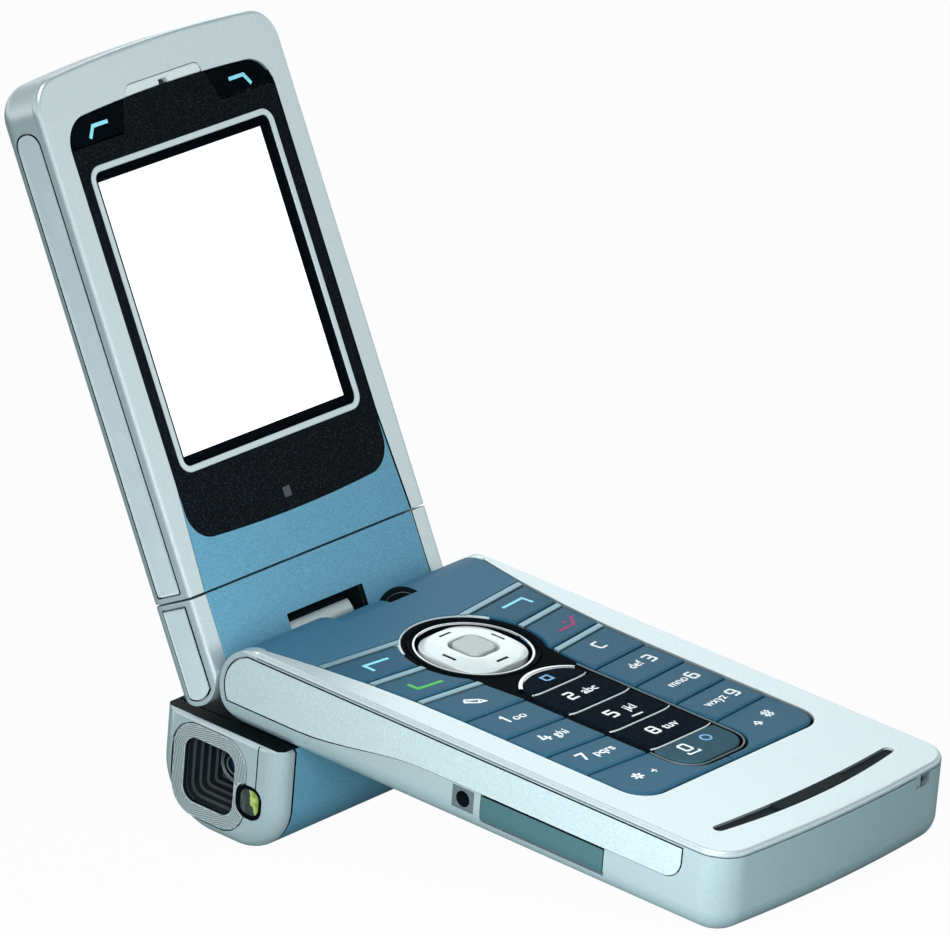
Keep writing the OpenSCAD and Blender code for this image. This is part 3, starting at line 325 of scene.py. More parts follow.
    # Coated optical glass: deep blue-violet tint under a clear gloss
    new_finish("lens", "coated_lens_glass", srgb("#1B2E44"), 0.04, (2.5, 0.3),
               Coat_Weight=1.0, Coat_Roughness=0.02, Specular_IOR_Level=0.8)
    # Lit display behind its window: even white with a faint cloud
    new_finish("screen", "lit_display", tint(c.screen, 0.97)[:3], 0.25, (12.0, 0.02),
               Emission_Color=(*c.screen, 1), Emission_Strength=0.35)
    # Diamond-turned aluminium round the lens: pale, bright metal between the ridges that are modelled on it
    new_finish("plate", "diamond_turned_aluminium", srgb("#E0E8E8"), 0.28, (0.2, 0.05, 0.003), Metallic=0.7)
    inks = {"legend": c.legend, "cyan": c.cyan, "green": c.green, "red": c.red, "blue_ink": srgb("#6FA4D8")}
    for key, base in inks.items():
        # Screen-printed ink: matt, slightly uneven
        new_finish(key, "printed_ink_" + key, base, 0.5, (0.4, 0.05))
    MATERIALS["flash"] = flash_material()


def flash_material():
    """Clear polycarbonate over a yellow phosphor: dark at one side, yellow-green at the other, with a painted
    highlight band between.
    """
    mat, tree, shader, coords = material(
        "clear_polycarbonate_over_phosphor", srgb("#B9BE3C"), 0.08, Coat_Weight=1.0, Coat_Roughness=0.03)
    low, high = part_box("flash_lens")
    along = add(tree, "ShaderNodeSeparateXYZ", [("Vector", coords)]).outputs["Y"]
    span = add(tree, "ShaderNodeMapRange", [("Value", along)], from_min=low.y, from_max=high.y)
    share = span.outputs["Result"]
    blotch = 1.6 * MM
    noise = add(tree, "ShaderNodeTexNoise", [("Vector", coords)], scale=1 / blotch, detail=1.0).outputs["Fac"]
    # The noise shifts the bands by up to a quarter of the window
    shift = add(
        tree, "ShaderNodeMath", [(0, noise), (1, 0.5), (2, -0.25)], operation="MULTIPLY_ADD").outputs[0]
    place = add(tree, "ShaderNodeMath", [(0, share), (1, shift)], operation="ADD").outputs[0]
    ramp = add(tree, "ShaderNodeValToRGB", [("Fac", place)])
    set_ramp(ramp, (0, (*srgb("#4B6216"), 1)), (1, (*srgb("#0C1214"), 1)))
    # Colour bands across the window; the pale band at 0.36 is a painted highlight
    bands = {0.25: "#7F942A", 0.36: "#B4C270", 0.42: "#2C3A1A", 0.6: "#161E1B", 0.78: "#3A4442"}
    for position, code in bands.items():
        ramp.color_ramp.elements.new(position).color = (*srgb(code), 1)
    tree.links.new(ramp.outputs["Color"], shader.inputs["Base Color"])
    return mat


# Modelling helpers

def only(obj):
    """Makes obj the one selected object."""
    if bpy.context.mode != "OBJECT":
        bpy.ops.object.mode_set(mode="OBJECT")
    bpy.ops.object.select_all(action="DESELECT")
    obj.select_set(True)
    bpy.context.view_layer.objects.active = obj


def edit(obj, faces=None):
    """Opens obj for editing with the faces that pass a test selected, or with all of it."""
    only(obj)
    bpy.ops.object.mode_set(mode="EDIT")
    bpy.ops.mesh.select_mode(type="FACE")
    bpy.ops.mesh.select_all(action="DESELECT" if faces else "SELECT")
    bpy.ops.object.mode_set(mode="OBJECT")
    if faces:
        for face in obj.data.polygons:
            face.select = faces(face)
        if not any(face.select for face in obj.data.polygons):
            raise RuntimeError(f"{obj.name}: no face to shape")
    bpy.ops.object.mode_set(mode="EDIT")


def done():
    bpy.ops.object.mode_set(mode="OBJECT")


def start(name, primitive, **settings):
    """A primitive to begin a piece with, its place in its mesh."""
    bpy.ops.object.select_all(action="DESELECT")
    primitive(**settings)
    obj = bpy.context.object
    obj.name = name
    bpy.ops.object.transform_apply(location=True, rotation=True, scale=True)
    return obj


def modify(obj, kind, **settings):
    """Adds a modifier with its settings, and applies it."""
    only(obj)
    modifier = obj.modifiers.new(kind.lower(), kind)
    for key, value in settings.items():
        setattr(modifier, key, value)
    bpy.ops.object.modifier_apply(modifier=modifier.name)


def node_copy(node, name):
    """A merged copy of a CAD node to work on."""
    obj = bpy.data.objects.new(name, frame["nodes"][node].data.copy())
    bpy.context.scene.collection.objects.link(obj)
    obj.data.materials.clear()
    weld, level = 0.001 * MM, math.radians(0.4)
    edit(obj)
    bpy.ops.mesh.remove_doubles(threshold=weld)
    bpy.ops.mesh.customdata_custom_splitnormals_clear()
    bpy.ops.mesh.dissolve_limited(angle_limit=level)
    done()
    return obj


def soften(obj, width, crease=CREASE):
    """Rounds the sharp edges, and keeps the large faces flat in the shading."""
    angle = math.radians(crease)
    modify(obj, "BEVEL", width=width, segments=2, limit_method="ANGLE", angle_limit=angle)
    bpy.ops.object.shade_smooth_by_angle(angle=angle)
    modify(obj, "WEIGHTED_NORMAL", keep_sharp=True)


def dress(obj, finish, body, replaced=()):
    """Finish, body and replaced nodes of a finished piece."""
    if finish:
        obj.data.materials.clear()
        obj.data.materials.append(MATERIALS[finish])
    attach(obj, body)
    if replaced:
        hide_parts(*replaced)
    return obj


def set_down(obj, place):
    """Puts a piece that was drawn in a local frame where it belongs, with its place in its mesh."""
    only(obj)
    obj.matrix_world = place
    bpy.ops.object.transform_apply(location=True, rotation=True, scale=True)
    return obj


def node_body(node):
    return next(b for b, members in frame["record"]["behaviour"]["bodies"].items() if node in members)


def paint_node(node, finish):
    """New finish of a CAD node that stays as it is."""
    mesh = frame["nodes"][node].data
    mesh.materials.clear()
    mesh.materials.append(MATERIALS[finish])


def shell(node, finish, width):
    """A CAD node with its edges rounded and a finish."""
    obj = node_copy(node, node + "_shell")
    soften(obj, width)
    return dress(obj, finish, node_body(node), [node])


def inlay(node, finish, slot, width, place, gap, axes=(0, 1, 1), dish=0):
    """A CAD node that meets its neighbours, drawn in along the given axes so that dark seams show; a plate's rim
    gets painted shade to darken its seam.
    """
    obj = node_copy(node, node + "_shell")
    draw_in(obj, place, gap, axes)
    if dish:
        outer = max(abs(v.co.x) for v in obj.data.vertices)
        edit(obj, lambda face: abs(face.normal.x) > ALONG and outer - abs(face.center.x) < dish)
        bpy.ops.mesh.inset(thickness=2.5 * dish, depth=-dish)
    soften(obj, width)
    dress(obj, finish, node_body(node), [node])
    # Painted shade on the rim of a plate, in the seam round it
    if axes.count(0) == 1:
        through = place.to_3x3().col[axes.index(0)]
        paint_shade(obj, lambda face: abs(face.normal @ through) < ASIDE)
    return obj


def draw_in(obj, place, gap, axes):
    """Makes a piece smaller by a gap on both sides along the chosen axes of a local frame."""
    set_down(obj, place.inverted())
    low, high = Vector(obj.bound_box[0]), Vector(obj.bound_box[6])
    edit(obj)
    scale = [1 - axis * 2 * gap / size for axis, size in zip(axes, high - low)]
    bpy.ops.transform.resize(value=scale, center_override=(low + high) / 2)
    done()
    set_down(obj, place)


def paint_shade(obj, test):
    """Paints shade: gives the faces that pass a test the dark moulded finish, as painted shade in seams, recesses,
    wells and hollows.
    """
    obj.data.materials.append(MATERIALS["dark"])
    for face in obj.data.polygons:
        if test(face):
            face.material_index = len(obj.data.materials) - 1


def paint_well_shade(obj, place, radius):
    """Painted shade on the walls of a hinge well, within a radius of a place's X axis."""
    inverse = place.inverted()
    half = WELL_PLAY - local_box("hinge_bracket", BASE)[0].x * MM

    def in_well(face):
        at = inverse @ face.center
        out = (inverse.to_3x3() @ face.normal).yz.dot(at.yz.normalized())
        return abs(at.x) < half and at.yz.length < radius and out < ASIDE

    paint_shade(obj, in_well)


def paint_recess_shade(obj, node, place):
    """Painted shade on the walls of the recess that holds a node on each side of the phone."""
    inverse = place.inverted()
    low, high = (corner * MM for corner in local_box(node, place))
    inner = min(abs((inverse @ v.co).x) for v in frame["nodes"][node].data.vertices)
    margin = 0.05 * MM

    def in_recess(face):
        at = inverse @ face.center
        side_on = abs((inverse.to_3x3() @ face.normal).x) < ASIDE
        deep = inner - margin < abs(at.x) < high.x - margin
        return side_on and deep and all(low[i] - margin < at[i] < high[i] + margin for i in (1, 2))

    paint_shade(obj, in_recess)


def curve_mesh(name, points, closed, **settings):
    """Mesh of a curve with straight stretches between its points."""
    curve = bpy.data.curves.new(name, "CURVE")
    for key, value in settings.items():
        setattr(curve, key, value)
    spline = curve.splines.new("POLY")
    spline.points.add(len(points) - 1)
    for point, at in zip(spline.points, points):
        point.co = (*at, 1)
    spline.use_cyclic_u = closed
    obj = bpy.data.objects.new(name, curve)
    bpy.context.scene.collection.objects.link(obj)
    only(obj)
    bpy.ops.object.convert(target="MESH")
    return bpy.context.object


def join(parts, name):
    """One piece of several meshes, the last of which is active."""
    for part in parts:
        part.select_set(True)
    if len(parts) > 1:
        bpy.ops.object.join()
    bpy.context.object.name = name
    return bpy.context.object


def flat_line(name, points, width, height, place, closed=False):
    """A raised line of a given width through points of a local frame, in metres."""
    obj = curve_mesh(
        name, points, closed, dimensions="3D", bevel_depth=width / 2, bevel_resolution=2, use_fill_caps=True)
    crease = math.radians(40)
    edit(obj)
    if height < width:
        middle = sum((Vector(p) for p in points), Vector()) / len(points)
        bpy.ops.transform.resize(value=(1, 1, height / width), center_override=middle)
    bpy.ops.mesh.normals_make_consistent(inside=False)
    done()
    bpy.ops.object.shade_smooth_by_angle(angle=crease)
    return set_down(obj, place)


# Strokes of the squared digits, on a field from -1 to 1 across and from -1.4 to 1.4 high
RIGHT_HALF = [(-0.1, 1.4), (0.7, 1.4), (1, 1.1), (1, -1.1), (0.7, -1.4), (-0.1, -1.4)]
LEFT_HALF = [(-x, y) for x, y in RIGHT_HALF]
LOWER_BOWL = [(-1, 0.2), (0.7, 0.2), (1, -0.1), (1, -1.1), (0.7, -1.4), (0, -1.4)]
UPPER_BOWL = [(-x, -y) for x, y in LOWER_BOWL]
DIGITS = {
    "0": [RIGHT_HALF, LEFT_HALF],
    "1": [[(-0.5, 0.9), (0.15, 1.4), (0.15, -1.6)]],
    "2": [[
        (-1, 1.4), (0.7, 1.4), (1, 1.1), (1, 0.3), (0.7, 0), (-0.7, 0), (-1, -0.3), (-1, -1.4), (1.2, -1.4)]],
    "3": [[(-1, 1.4), (0, 1.4)], RIGHT_HALF, [(-1, -1.4), (0, -1.4)], [(-0.6, 0), (1, 0)]],
    "4": [[(-0.5, 1.5), (-1, -0.5), (1.2, -0.5)], [(0.4, 0.6), (0.4, -1.5)]],
    "5": [[(1, 1.4), (-1, 1.4), (-1, 0.2), (0.7, 0.2), (1, -0.1), (1, -1.1), (0.7, -1.4), (-1, -1.4)]],
    "6": [LEFT_HALF, [(0, 1.4), (0.9, 1.4)], LOWER_BOWL],
    "7": [[(-1, 1.4), (1, 1.4), (-0.2, -1.5)]],
    "8": [RIGHT_HALF, LEFT_HALF, [(-1, 0), (1, 0)]],
    "9": [RIGHT_HALF, [(0, -1.4), (-0.9, -1.4)], UPPER_BOWL],
    "C": [LEFT_HALF, [(0, 1.4), (1, 1.4)], [(0, -1.4), (1, -1.4)]],
    "#": [
        [(-0.35, 1.4), (-0.75, -1.4)], [(0.75, 1.4), (0.35, -1.4)],
        [(-1.3, 0.6), (1.3, 0.6)], [(-1.4, -0.6), (1.2, -0.6)]],
    "*": [[(-1.2, -0.7), (1.2, 0.7)], [(-1.2, 0.7), (1.2, -0.7)], [(0, -1.4), (0, 1.4)]],
}
# Width of a digit's strokes on that field, in millimetres at size 1
DIGIT_STROKE = 0.56
# Swelling of the letters' outlines as a share of the type size, for a bolder print
LETTER_WEIGHT = 0.014


def legend(name, text, at, size, turn, key, finish, place, body):
    """Printed word on a key, laid on the key's top."""
    bpy.ops.object.select_all(action="DESELECT")
    bpy.ops.object.text_add()
    obj = bpy.context.object
    obj.name = obj.data.name = name
    obj.data.body = text
    obj.data.size = size
    obj.data.align_x = "CENTER"
    obj.data.align_y = "CENTER"
    obj.data.offset = LETTER_WEIGHT * size
    only(obj)
    bpy.ops.object.convert(target="MESH")
    return print_on(bpy.context.object, at, turn, key, finish, place, body)


def print_on(obj, at, turn, key, finish, place, body):
    """Lays a flat mesh on a key's top as a thin print."""
    obj.matrix_world = place @ Matrix.Translation(at) @ Matrix.Rotation(turn, 4, "Z")
    lift = 0.004 * MM
    modify(
        obj, "SHRINKWRAP", wrap_method="PROJECT", use_project_z=True, use_negative_direction=True,
        use_positive_direction=False, target=key, offset=lift)
    modify(obj, "SOLIDIFY", thickness=bpy.context.scene.phone_sizes.print_t, offset=1)
    bpy.ops.object.transform_apply(location=True, rotation=True, scale=True)
    return dress(obj, finish, body)


def stroke(name, lines, width, at, turn, key, finish, place, body):
    """Printed strokes of even width through points in millimetres."""
    parts = []
    for line in lines:
        outline = ribbon([Vector(p) * MM for p in line], width / 2 * MM)
        parts.append(curve_mesh(name, [(*p, 0) for p in outline], True, dimensions="2D", fill_mode="BOTH"))
    return print_on(join(parts, name), at, turn, key, finish, place, body)


def ribbon(points, half):
    """Outline of a line of even width with square ends and mitred corners."""
    left, right = [], []
    sharpest = 0.4
    for i, p in enumerate(points):
        before = (p - points[i - 1]).normalized() if i else None
        after = (points[i + 1] - p).normalized() if i + 1 < len(points) else None
        before = before or after
        after = after or before
        along = (before + after).normalized()
        reach = half / max(sharpest, along.dot(before))
        side = Vector((-along.y, along.x)) * reach
        left.append(p + side)
        right.append(p - side)
    return left + right[::-1]


def arc(centre, radius, begin, end, steps, z):
    """Points along an arc in a local frame, in metres, angles in degrees."""
    angles = [math.radians(begin + (end - begin) * i / steps) for i in range(steps + 1)]
    return [(centre[0] + radius * math.cos(a), centre[1] + radius * math.sin(a), z) for a in angles]


def rounded(centre, half, radius, out):
    """Points round a rounded rectangle, grown by a length: its corners, then points along its sides."""
    corner_steps, side_steps = 10, 12
    points = []
    for quarter, (x, y) in enumerate(((1, 1), (-1, 1), (-1, -1), (1, -1))):
        middle = (centre[0] + x * (half[0] - radius), centre[1] + y * (half[1] - radius))
        begin = 90 * quarter
        points += [p[:2] for p in arc(middle, radius + out, begin, begin + 90, corner_steps, 0)]
    dense = []
    for i, p in enumerate(points):
        after = Vector(points[(i + 1) % len(points)])
        steps = side_steps if i % (corner_steps + 1) == corner_steps else 1
        dense += [Vector(p).lerp(after, t / steps) for t in range(steps)]
    return dense


def runs(points, kept):
    """Stretches of a closed outline whose points are kept."""
    if all(kept):
        return [points]
    first = kept.index(False)
    found = [[]]
    for i in range(len(points)):
        at = (first + i) % len(points)
        if kept[at]:
            found[-1].append(points[at])
        elif found[-1]:
            found.append([])
    return [run for run in found if len(run) > 2]


# Pieces

class PHONE_OT_finishes(Operator):
    """Makes the finishes that the pieces share"""
    bl_idname = "phone.finishes"
    bl_label = "Finishes"

    def execute(self, context):
        make_materials(context.scene.phone_colours)
        return {"FINISHED"}


class PHONE_OT_base_housings(Operator):
    """Rounds and paints the top frame, the lower housing and the panels of the base"""
    bl_idname = "phone.base_housings"
    bl_label = "Base housings"

    def execute(self, context):
        sizes = context.scene.phone_sizes
        # Painted shade in the hinge wells of the frame, the housing and the hinge-end panel, and on the walls of
        # the side panels' recess
        paint_well_shade(self.top_frame(sizes), BASE, BASE_WELL)
        housing = shell("lower_housing", "silver", sizes.edge)
        paint_well_shade(housing, BASE, BASE_WELL)
        paint_recess_shade(housing, "side_panels", BASE)
        # The hinge-end panel takes the darker copy of the blue paint, as painted shade
        paint_well_shade(shell("hinge_end_panel", "blue", sizes.edge), BASE, BASE_WELL)
        inlay("side_panels", "satin", "satin_plastic", sizes.edge, BASE, sizes.seam)
        inlay("battery_cover", "satin", "satin_plastic", sizes.edge / 2, BASE, sizes.seam / 2, (1, 1, 0))
        self.cover_grip()
        return {"FINISHED"}

    def cover_grip(self):
        """Ribs for the thumb near the front end of the battery cover."""
        low = local_box("battery_cover", BASE)[0] * MM
        reach = 7 * MM
        width, height = 0.7 * MM, 0.4 * MM
        first, pitch = 3.5, 1.3
        for i in range(5):
            y = low.y + (first + pitch * i) * MM
            rib = flat_line(f"cover_rib_{i}", [(-reach, y, low.z), (reach, y, low.z)], width, height, BASE)
            dress(rib, "satin", "base")

    def top_frame(self, sizes):
        """Frame round the keys, raised at its rim so that the seam to the housing shows."""
        obj = node_copy("keypad_frame", "keypad_frame_shell")
        inverse = BASE.inverted()
        top = local_box("keypad_frame", BASE)[1].z
        # Depths in millimetres between which the underside of the rim lies
        shallow, deep = 0.5, 1.2

        def under_rim(face):
            depth = top - (inverse @ face.center).z / MM
            return face.normal @ KEY_UP < -STRAIGHT and shallow < depth < deep

        edit(obj, under_rim)
        bpy.ops.transform.translate(value=KEY_UP * sizes.seam)
        done()
        soften(obj, sizes.edge)
        return dress(obj, "silver", "base", ["keypad_frame"])


class PHONE_OT_base_fittings(Operator):
    """Finishes the card door, the charging socket, the microphone slot and the parts inside the base"""
    bl_idname = "phone.base_fittings"
    bl_label = "Base fittings"

    def execute(self, context):
        edge = context.scene.phone_sizes.edge
        inlay("card_door", "door", "satin_plastic", edge, BASE, edge / 2)
        socket = shell("charging_socket", "nickel", edge / 2)
        face_x = min(v.co.x for v in socket.data.vertices)
        lip = 0.3 * MM
        # Painted shade inside the socket's bore, deeper than its lip
        paint_shade(socket, lambda face: face.center.x - face_x > lip)
        shell("mic_trim", "dark", edge / 2)
        for node, finish in {"key_mat": "rubber", "main_board": "board", "battery": "battery"}.items():
            paint_node(node, finish)
        return {"FINISHED"}


SIDE_KEYS = (
    "soft_key_left", "soft_key_right", "call_key", "end_key", "edit_key", "clear_key",
    "key_1", "key_3", "key_4", "key_6", "key_7", "key_9", "key_star", "key_hash")
CENTRE_KEYS = ("menu_key", "key_2", "key_5", "key_8", "key_0")
CAPS = {}


def key_cap(node, finish, tilt, rise, border, gap=0):
    """A key with a raised, slightly sloping top, drawn in by a gap."""
    obj = node_copy(node, node + "_cap")
    if gap:
        draw_in(obj, BASE, gap, (1, 1, 0))
    top = max((v.co @ KEY_UP) for v in obj.data.vertices)
    flush = 0.02 * MM
    edit(obj, lambda face: face.normal @ KEY_UP > STRAIGHT and face.center @ KEY_UP > top - flush)
    bpy.ops.mesh.inset(thickness=border, depth=rise)
    if tilt:
        low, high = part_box(node)
        middle = (low + high) / 2
        bpy.ops.transform.rotate(value=tilt, orient_axis="X", orient_type="GLOBAL", center_override=middle)
    done()
    soften(obj, bpy.context.scene.phone_sizes.key_edge, KEY_CREASE)
    CAPS[node] = dress(obj, finish, node, [node])


class PHONE_OT_side_keys(Operator):
    """Shapes the blue keys on both sides of the centre strip, and the silver bars between them"""
    bl_idname = "phone.side_keys"
    bl_label = "Side keys"

    def execute(self, context):
        sizes = context.scene.phone_sizes
        for node in SIDE_KEYS:
            # The keys take a darker copy of the blue paint, as painted shade
            key_cap(node, "key_blue", sizes.key_tilt, rise=0.06 * MM, border=0.5 * MM)
        shell("key_bars", "bar", sizes.key_edge)
        return {"FINISHED"}


class PHONE_OT_centre_keys(Operator):
    """Shapes the centre strip with its keys and bright lines"""
    bl_idname = "phone.centre_keys"
    bl_label = "Centre keys"

    def execute(self, context):
        sizes = context.scene.phone_sizes
        shell("centre_strip", "black", sizes.edge)
        for node in CENTRE_KEYS:
            finish = "slate" if node == "key_0" else "navy"
            key_cap(node, finish, sizes.key_tilt / 2, rise=0.08 * MM, border=0.45 * MM)
        top = local_box("centre_strip", BASE)[1].z * MM
        for node in CENTRE_KEYS[:-1]:
            self.key_line(node, sizes.line, top)
        self.strip_edge(sizes.line, top)
        self.menu_arc()
        return {"FINISHED"}

    def key_line(self, node, width, top):
        """Pale line below a key, whose ends curl up beside it."""
        low, high = local_box(node, BASE)
        half = high.x * MM
        clear = 0.12 * MM
        y = low.y * MM - clear
        curl, steepness, steps = 0.35 * MM, 8, 12
        shares = [t / steps for t in range(-steps, steps + 1)]
        points = [(half * share, y + curl * share ** steepness, top + clear) for share in shares]
        dress(flat_line(node + "_line", points, width, width, BASE), "pearl", "base")

    def strip_edge(self, width, top):
        """Bright line inside the edge of the strip, down its far side and round key 0."""
        low = local_box("centre_strip", BASE)[0]
        key_top = local_box("key_0", BASE)[1].y * MM
        beside_keys, inside_strip = 0.7, 0.42
        half = (local_box("key_2", BASE)[1].x + beside_keys) * MM
        begin = local_box("menu_key", BASE)[1].y * MM - 1.2 * MM
        r = 4.1 * MM
        bottom = (low.y + inside_strip) * MM
        z = top + 0.06 * MM
        points = [(half, begin, z)]
        points += arc((half - r, bottom + r), r, 0, -90, 10, z)
        points += arc((-half + r, bottom + r), r, -90, -180, 10, z)
        points += [(-half, key_top, z)]
        dress(flat_line("strip_edge_line", points, width, width, BASE), "nickel", "base")

    def menu_arc(self):
        """Chrome arc over the menu key."""
        high = local_box("menu_key", BASE)[1]
        bend, clear = 1.35, 0.75 * MM
        width, height = 0.8 * MM, 0.5 * MM
        r = high.x * MM * bend
        y = high.y * MM + clear
        points = arc((0, y - r), r, 138, 42, 16, high.z * MM)
        dress(flat_line("menu_arc", points, width, height, BASE), "chrome", "base")


class PHONE_OT_navigation(Operator):
    """Shapes the navigation key, the select key, the bezel and the lip of their well"""
    bl_idname = "phone.navigation"
    bl_label = "Navigation"

    def execute(self, context):
        sizes = context.scene.phone_sizes
        shell("nav_bezel", "black", sizes.edge)
        nav = shell("nav_key", "pearl", sizes.key_edge)
        key_cap("select_key", "select", 0, rise=0.04 * MM, border=0.5 * MM, gap=sizes.seam)
        low, high = local_box("nav_key", BASE)
        centre = (low + high) / 2 * MM
        top = high.z * MM
        self.dashes(nav, centre, top)
        self.ring(centre, top)
        self.lip(centre, top)
        return {"FINISHED"}

    def ring(self, centre, top):
        """Chrome ring on the bezel."""
        low, high = local_box("nav_bezel", BASE)
        inside, below = 1.1 * MM, 0.62 * MM
        width, height = 0.5 * MM, 0.4 * MM
        r = (high.x - low.x) / 2 * MM - inside
        points = arc(centre, r, 0, 360, 60, top - below)[:-1]
        obj = flat_line("nav_ring", points, width, height, BASE, closed=True)
        dress(obj, "chrome", "base")

    def lip(self, centre, top):
        """Silver lip of the well, at the end of the centre strip."""
        beyond, below = 0.18 * MM, 0.55 * MM
        width, height = 0.75 * MM, 0.6 * MM
        r = local_box("centre_strip", BASE)[1].y * MM - centre.y + beyond
        points = arc(centre, r, 152, 28, 30, top - below)
        dress(flat_line("nav_well_lip", points, width, height, BASE), "silver", "base")

    def dashes(self, nav, centre, top):
        """Four printed dashes that point out the directions."""
        reach = 5.35 * MM
        half, width = 1.2, 0.42
        for i in range(4):
            turn = math.radians(90 * i)
            at = Vector((centre.x + reach * math.sin(turn), centre.y + reach * math.cos(turn), top + MM))
            stroke(f"nav_dash_{i}", [[(-half, 0), (half, 0)]], width, at, -turn, nav, "dark", BASE, "nav_key")


# Words on the keys: text, then the place of its middle across and along the base in millimetres
LEGENDS = {
    "key_2": (("2", -1.95, -37.9), ("abc", 1.76, -38.2)),
    "key_5": (("5", -2.0, -45.4), ("jkl", 1.6, -45.7)),
    "key_8": (("8", -1.6, -52.6), ("tuv", 1.6, -53.0)),
    "key_0": (("0", -2.5, -59.1),),
    "key_1": (("1", -14.9, -36.8), ("oo", -12.6, -37.4)),
    "key_4": (("4", -15.0, -44.15), ("ghi", -12.2, -44.6)),
    "key_7": (("7", -15.8, -51.6), ("pqrs", -12.0, -52.2)),
    "key_star": (("*", -14.6, -60.5), ("+", -11.4, -61.0)),
    "key_3": (("3", 16.45, -37.15), ("def", 13.2, -37.3)),
    "key_6": (("6", 16.7, -44.7), ("mno", 13.4, -44.8)),
    "key_9": (("9", 16.7, -52.1), ("wxyz", 12.7, -52.2)),
    "key_hash": (("#", 15.2, -59.6),),
    "clear_key": (("C", 14.3, -29.65),),
}
# Strokes on the keys: key, finish, width and points, in millimetres
STROKES = {
    "soft_left_stroke": ("soft_key_left", "cyan", 0.5, [(-12.3, -13.0), (-16.9, -12.5), (-17.0, -14.6)]),
    "soft_right_stroke": ("soft_key_right", "cyan", 0.5, [(13.2, -12.65), (18.0, -12.2), (18.1, -14.2)]),
    "call_stroke": ("call_key", "green", 0.6, [(-16.7, -20.5), (-16.8, -22.4), (-12.1, -23.0)]),
    "end_stroke": ("end_key", "red", 0.6, [(13.3, -23.05), (16.7, -22.95), (18.7, -20.75)]),
    "end_dot": ("end_key", "red", 0.6, [(16.0, -21.4), (16.7, -21.4)]),
    "edit_pencil": ("edit_key", "legend", 0.32, [
        (-14.5, -28.9), (-12.8, -30.2), (-12.4, -31.2), (-13.5, -31.0), (-15.1, -29.6), (-14.6, -29.0)]),
    "edit_pencil_band": ("edit_key", "legend", 0.28, [(-13.4, -30.8), (-12.9, -30.3)]),
    "five_bump": ("key_5", "legend", 0.3, [(-0.5, -47.9), (1.7, -48.0)]),
    "zero_space": ("key_0", "legend", 0.3, [(-3.7, -60.5), (-3.7, -61.0), (-1.5, -61.1), (-1.5, -60.6)]),
    "hash_arrow": ("key_hash", "legend", 0.26, [
        (11.6, -61.5), (11.6, -60.9), (11.0, -60.9), (11.6, -60.2), (12.2, -60.9), (11.7, -60.9)]),
    "menu_mark": ("menu_key", "blue_ink", 0.34, [
        (-0.7, -32.6), (-0.7, -31.3), (0.7, -31.3), (0.7, -32.6), (-0.5, -32.6)]),
}


class PHONE_OT_legends(Operator):
    """Prints the digits, letters and strokes on the keys"""
    bl_idname = "phone.legends"
    bl_label = "Legends"

    def execute(self, context):
        sizes = context.scene.phone_sizes
        for node, words in LEGENDS.items():
            for text, x, y in words:
                at = self.above(node, x, y)
                laid = (slope(x, y), CAPS[node], "legend", BASE, node)
                if text in DIGITS:
                    lines = [[Vector(p) * sizes.digit for p in line] for line in DIGITS[text]]
                    stroke(f"{node}_digit", lines, DIGIT_STROKE * sizes.digit, at, *laid)
                else:
                    legend(f"{node}_letters", text, at, sizes.letters, *laid)
        for name, (node, finish, width, points) in STROKES.items():
            stroke(name, [points], width, self.above(node, 0, 0), 0, CAPS[node], finish, BASE, node)
        self.ring()
        return {"FINISHED"}

    def above(self, node, x, y):
        """A point 1 mm above a key, from which a print is laid on it."""
        return Vector((x, y, local_box(node, BASE)[1].z + 1)) * MM

    def ring(self):
        """Plain ring on the lowest centre key."""
        r, steps = 0.8, 24
        angles = [math.tau * i / steps for i in range(steps + 1)]
        circle = [(r * math.cos(a), r * math.sin(a)) for a in angles]
        at = self.above("key_0", 2.3, -58.9)
        stroke("zero_ring", [circle], 0.3, at, 0, CAPS["key_0"], "blue_ink", BASE, "key_0")


def slope(x, y):
    """Angle of the key rows beside the centre strip, steeper above the digits."""
    strip_half, digits_top = 7, -34
    if abs(x) < strip_half:
        return 0
    return math.copysign(math.atan(0.11 if y > digits_top else 0.065), x)


